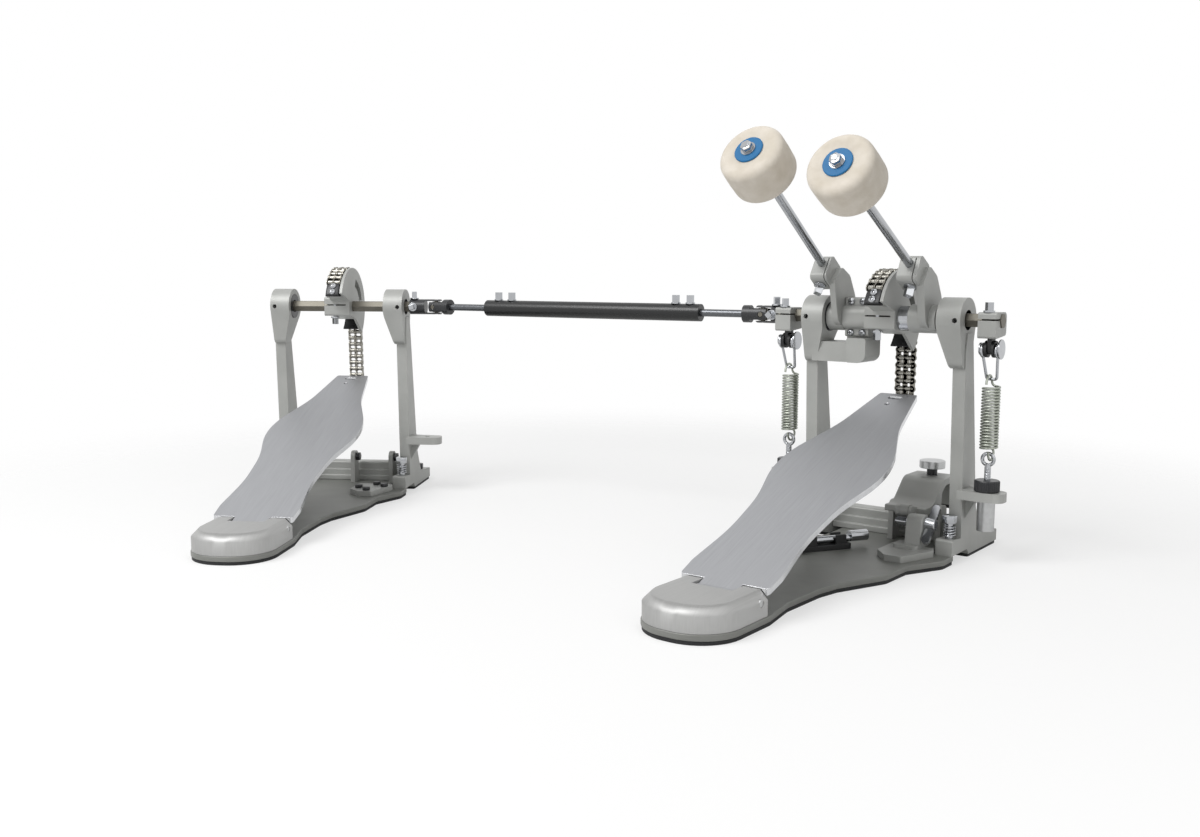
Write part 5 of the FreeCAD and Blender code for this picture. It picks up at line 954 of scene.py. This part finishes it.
# %% Keeper plates and their screws
KEEPER_ANGLE = math.radians(150)
KEEPER_RADIUS = 34.2
KEEPER_SIZE = (12.0, 12.0, 3.0)
KEEPER_ROUND = 0.5
KEEPER_SCREWS = (3.0, -3.2)
outward = Vector((0, math.cos(KEEPER_ANGLE), math.sin(KEEPER_ANGLE)))
upward = Vector((0, outward.z, -outward.y))
seat = Vector((CHAIN_X, 0, AXLE_Z)) + outward * KEEPER_RADIUS
keeper_face = seat + outward * (KEEPER_SIZE[2] / 2)
for label in ("main", "slave"):
    place = PEDAL_PLACE[label]
    body = label + "_axle_set"
    keeper = block(KEEPER_SIZE)
    rounded(keeper, keeper.edges[:], KEEPER_ROUND)
    finish_piece(label + "_chain_keeper", placed(keeper, place @ aim(seat, outward)), black_oxide, body)
    # Each black cross is painted shade standing for a screw's recess.
    heads, recess_shades = zip(*[pan_head(place @ aim(keeper_face + upward * rise, outward))
                           for rise in KEEPER_SCREWS])
    finish_piece(label + "_keeper_screws", joined(heads), chrome_plate, body)
    finish_piece(label + "_keeper_recess_shade", joined(recess_shades), black_oxide, body)
print("keeper screws:", 2 * len(KEEPER_SCREWS))

# %% [markdown]
# ## Studio
# A pale floor and an even white world give the plain catalogue light of the photograph; three soft boxes
# model the forms. The floor thins out to clear air away from the pedals, so no horizon line shows, and to
# the camera it is mixed with white light, so only a faint shadow is left. The lamps stay at a level where
# a colour renders about as it is written.

# %% Floor
FLOOR_NEAR = 0.4
FLOOR_FAR = 0.9
FLOOR_LIFT = 0.55
FLOOR_HALF = 6.0
FLOOR_SHIFT = (0.25, 0.05, 0.0)
floor_paint, floor_tree, floor_shader = new_material("pale_studio_floor")
floor_shader.inputs["Base Color"].default_value = linear("#f6f6f6")
floor_shader.inputs["Roughness"].default_value = 0.9
spot = add(floor_tree, "ShaderNodeTexCoord")
centred = add(floor_tree, "ShaderNodeMapping", {"Vector": (spot, "Object"), "Location": FLOOR_SHIFT})
distance = add(floor_tree, "ShaderNodeVectorMath", {0: (centred, "Vector")}, operation="LENGTH")
fade = add(floor_tree, "ShaderNodeMapRange",
           {"Value": (distance, "Value"), "From Min": FLOOR_NEAR, "From Max": FLOOR_FAR},
           interpolation_type="SMOOTHSTEP")
floor_rays = add(floor_tree, "ShaderNodeLightPath")
lift = add(floor_tree, "ShaderNodeMath", {0: (floor_rays, "Is Camera Ray"), 1: FLOOR_LIFT},
           operation="MULTIPLY")
paper = add(floor_tree, "ShaderNodeEmission", {"Color": linear("#ffffff"), "Strength": 1.0})
lifted = add(floor_tree, "ShaderNodeMixShader",
             {0: (lift, "Value"), 1: (floor_shader, "BSDF"), 2: (paper, "Emission")})
open_air = add(floor_tree, "ShaderNodeBsdfTransparent")
faded = add(floor_tree, "ShaderNodeMixShader",
            {0: (fade, "Result"), 1: (lifted, "Shader"), 2: (open_air, "BSDF")})
floor_tree.links.new(faded.outputs["Shader"], floor_tree.nodes["Material Output"].inputs["Surface"])
floor_shape = bmesh.new()
bmesh.ops.create_grid(floor_shape, x_segments=1, y_segments=1, size=FLOOR_HALF)
floor_mesh = bpy.data.meshes.new("studio_floor")
floor_shape.to_mesh(floor_mesh)
floor_shape.free()
floor_mesh.materials.append(floor_paint)
floor = bpy.data.objects.new("studio_floor", floor_mesh)
bpy.context.scene.collection.objects.link(floor)
print("floor clear beyond", FLOOR_FAR, "m")

# %% World
AMBIENT = 0.47
world = bpy.data.worlds.new("studio_world")
bpy.context.scene.world = world
world.use_nodes = True
tree = world.node_tree
rays = add(tree, "ShaderNodeLightPath")
through = add(tree, "ShaderNodeMath", {0: (rays, "Is Camera Ray"), 1: (rays, "Is Transmission Ray")},
              operation="MAXIMUM")
seen = add(tree, "ShaderNodeMath", {0: (through, "Value"), 1: (rays, "Is Glossy Ray")}, operation="MAXIMUM")
ambient = add(tree, "ShaderNodeBackground", {"Color": linear("#eeeeed"), "Strength": AMBIENT})
backdrop = add(tree, "ShaderNodeBackground", {"Color": linear("#ffffff"), "Strength": 1.0})
mix = add(tree, "ShaderNodeMixShader",
          {0: (seen, "Value"), 1: (ambient, "Background"), 2: (backdrop, "Background")})
tree.links.new(mix.outputs["Shader"], tree.nodes["World Output"].inputs["Surface"])
print("ambient:", AMBIENT)

# %% Lamps
MIDDLE = Vector((-0.25, -0.1, 0.12))


def soft_box(name, place, size, power):
    """A rectangular lamp in metres and watts that looks at the middle of the pedals."""
    lamp = bpy.data.lights.new(name, "AREA")
    lamp.shape = "RECTANGLE"
    lamp.size, lamp.size_y = size
    lamp.energy = power
    holder = bpy.data.objects.new(name, lamp)
    holder.location = place
    holder.rotation_euler = (MIDDLE - Vector(place)).to_track_quat("-Z", "Y").to_euler()
    bpy.context.scene.collection.objects.link(holder)


soft_box("key_box", place=(-0.6, -1.5, 1.6), size=(1.2, 0.9), power=29.0)
soft_box("fill_box", place=(1.3, -0.7, 1.0), size=(1.0, 1.0), power=3.0)
soft_box("top_box", place=(0.2, -0.3, 1.9), size=(2.4, 1.8), power=5.0)
print("lamps:", len(bpy.data.lights))
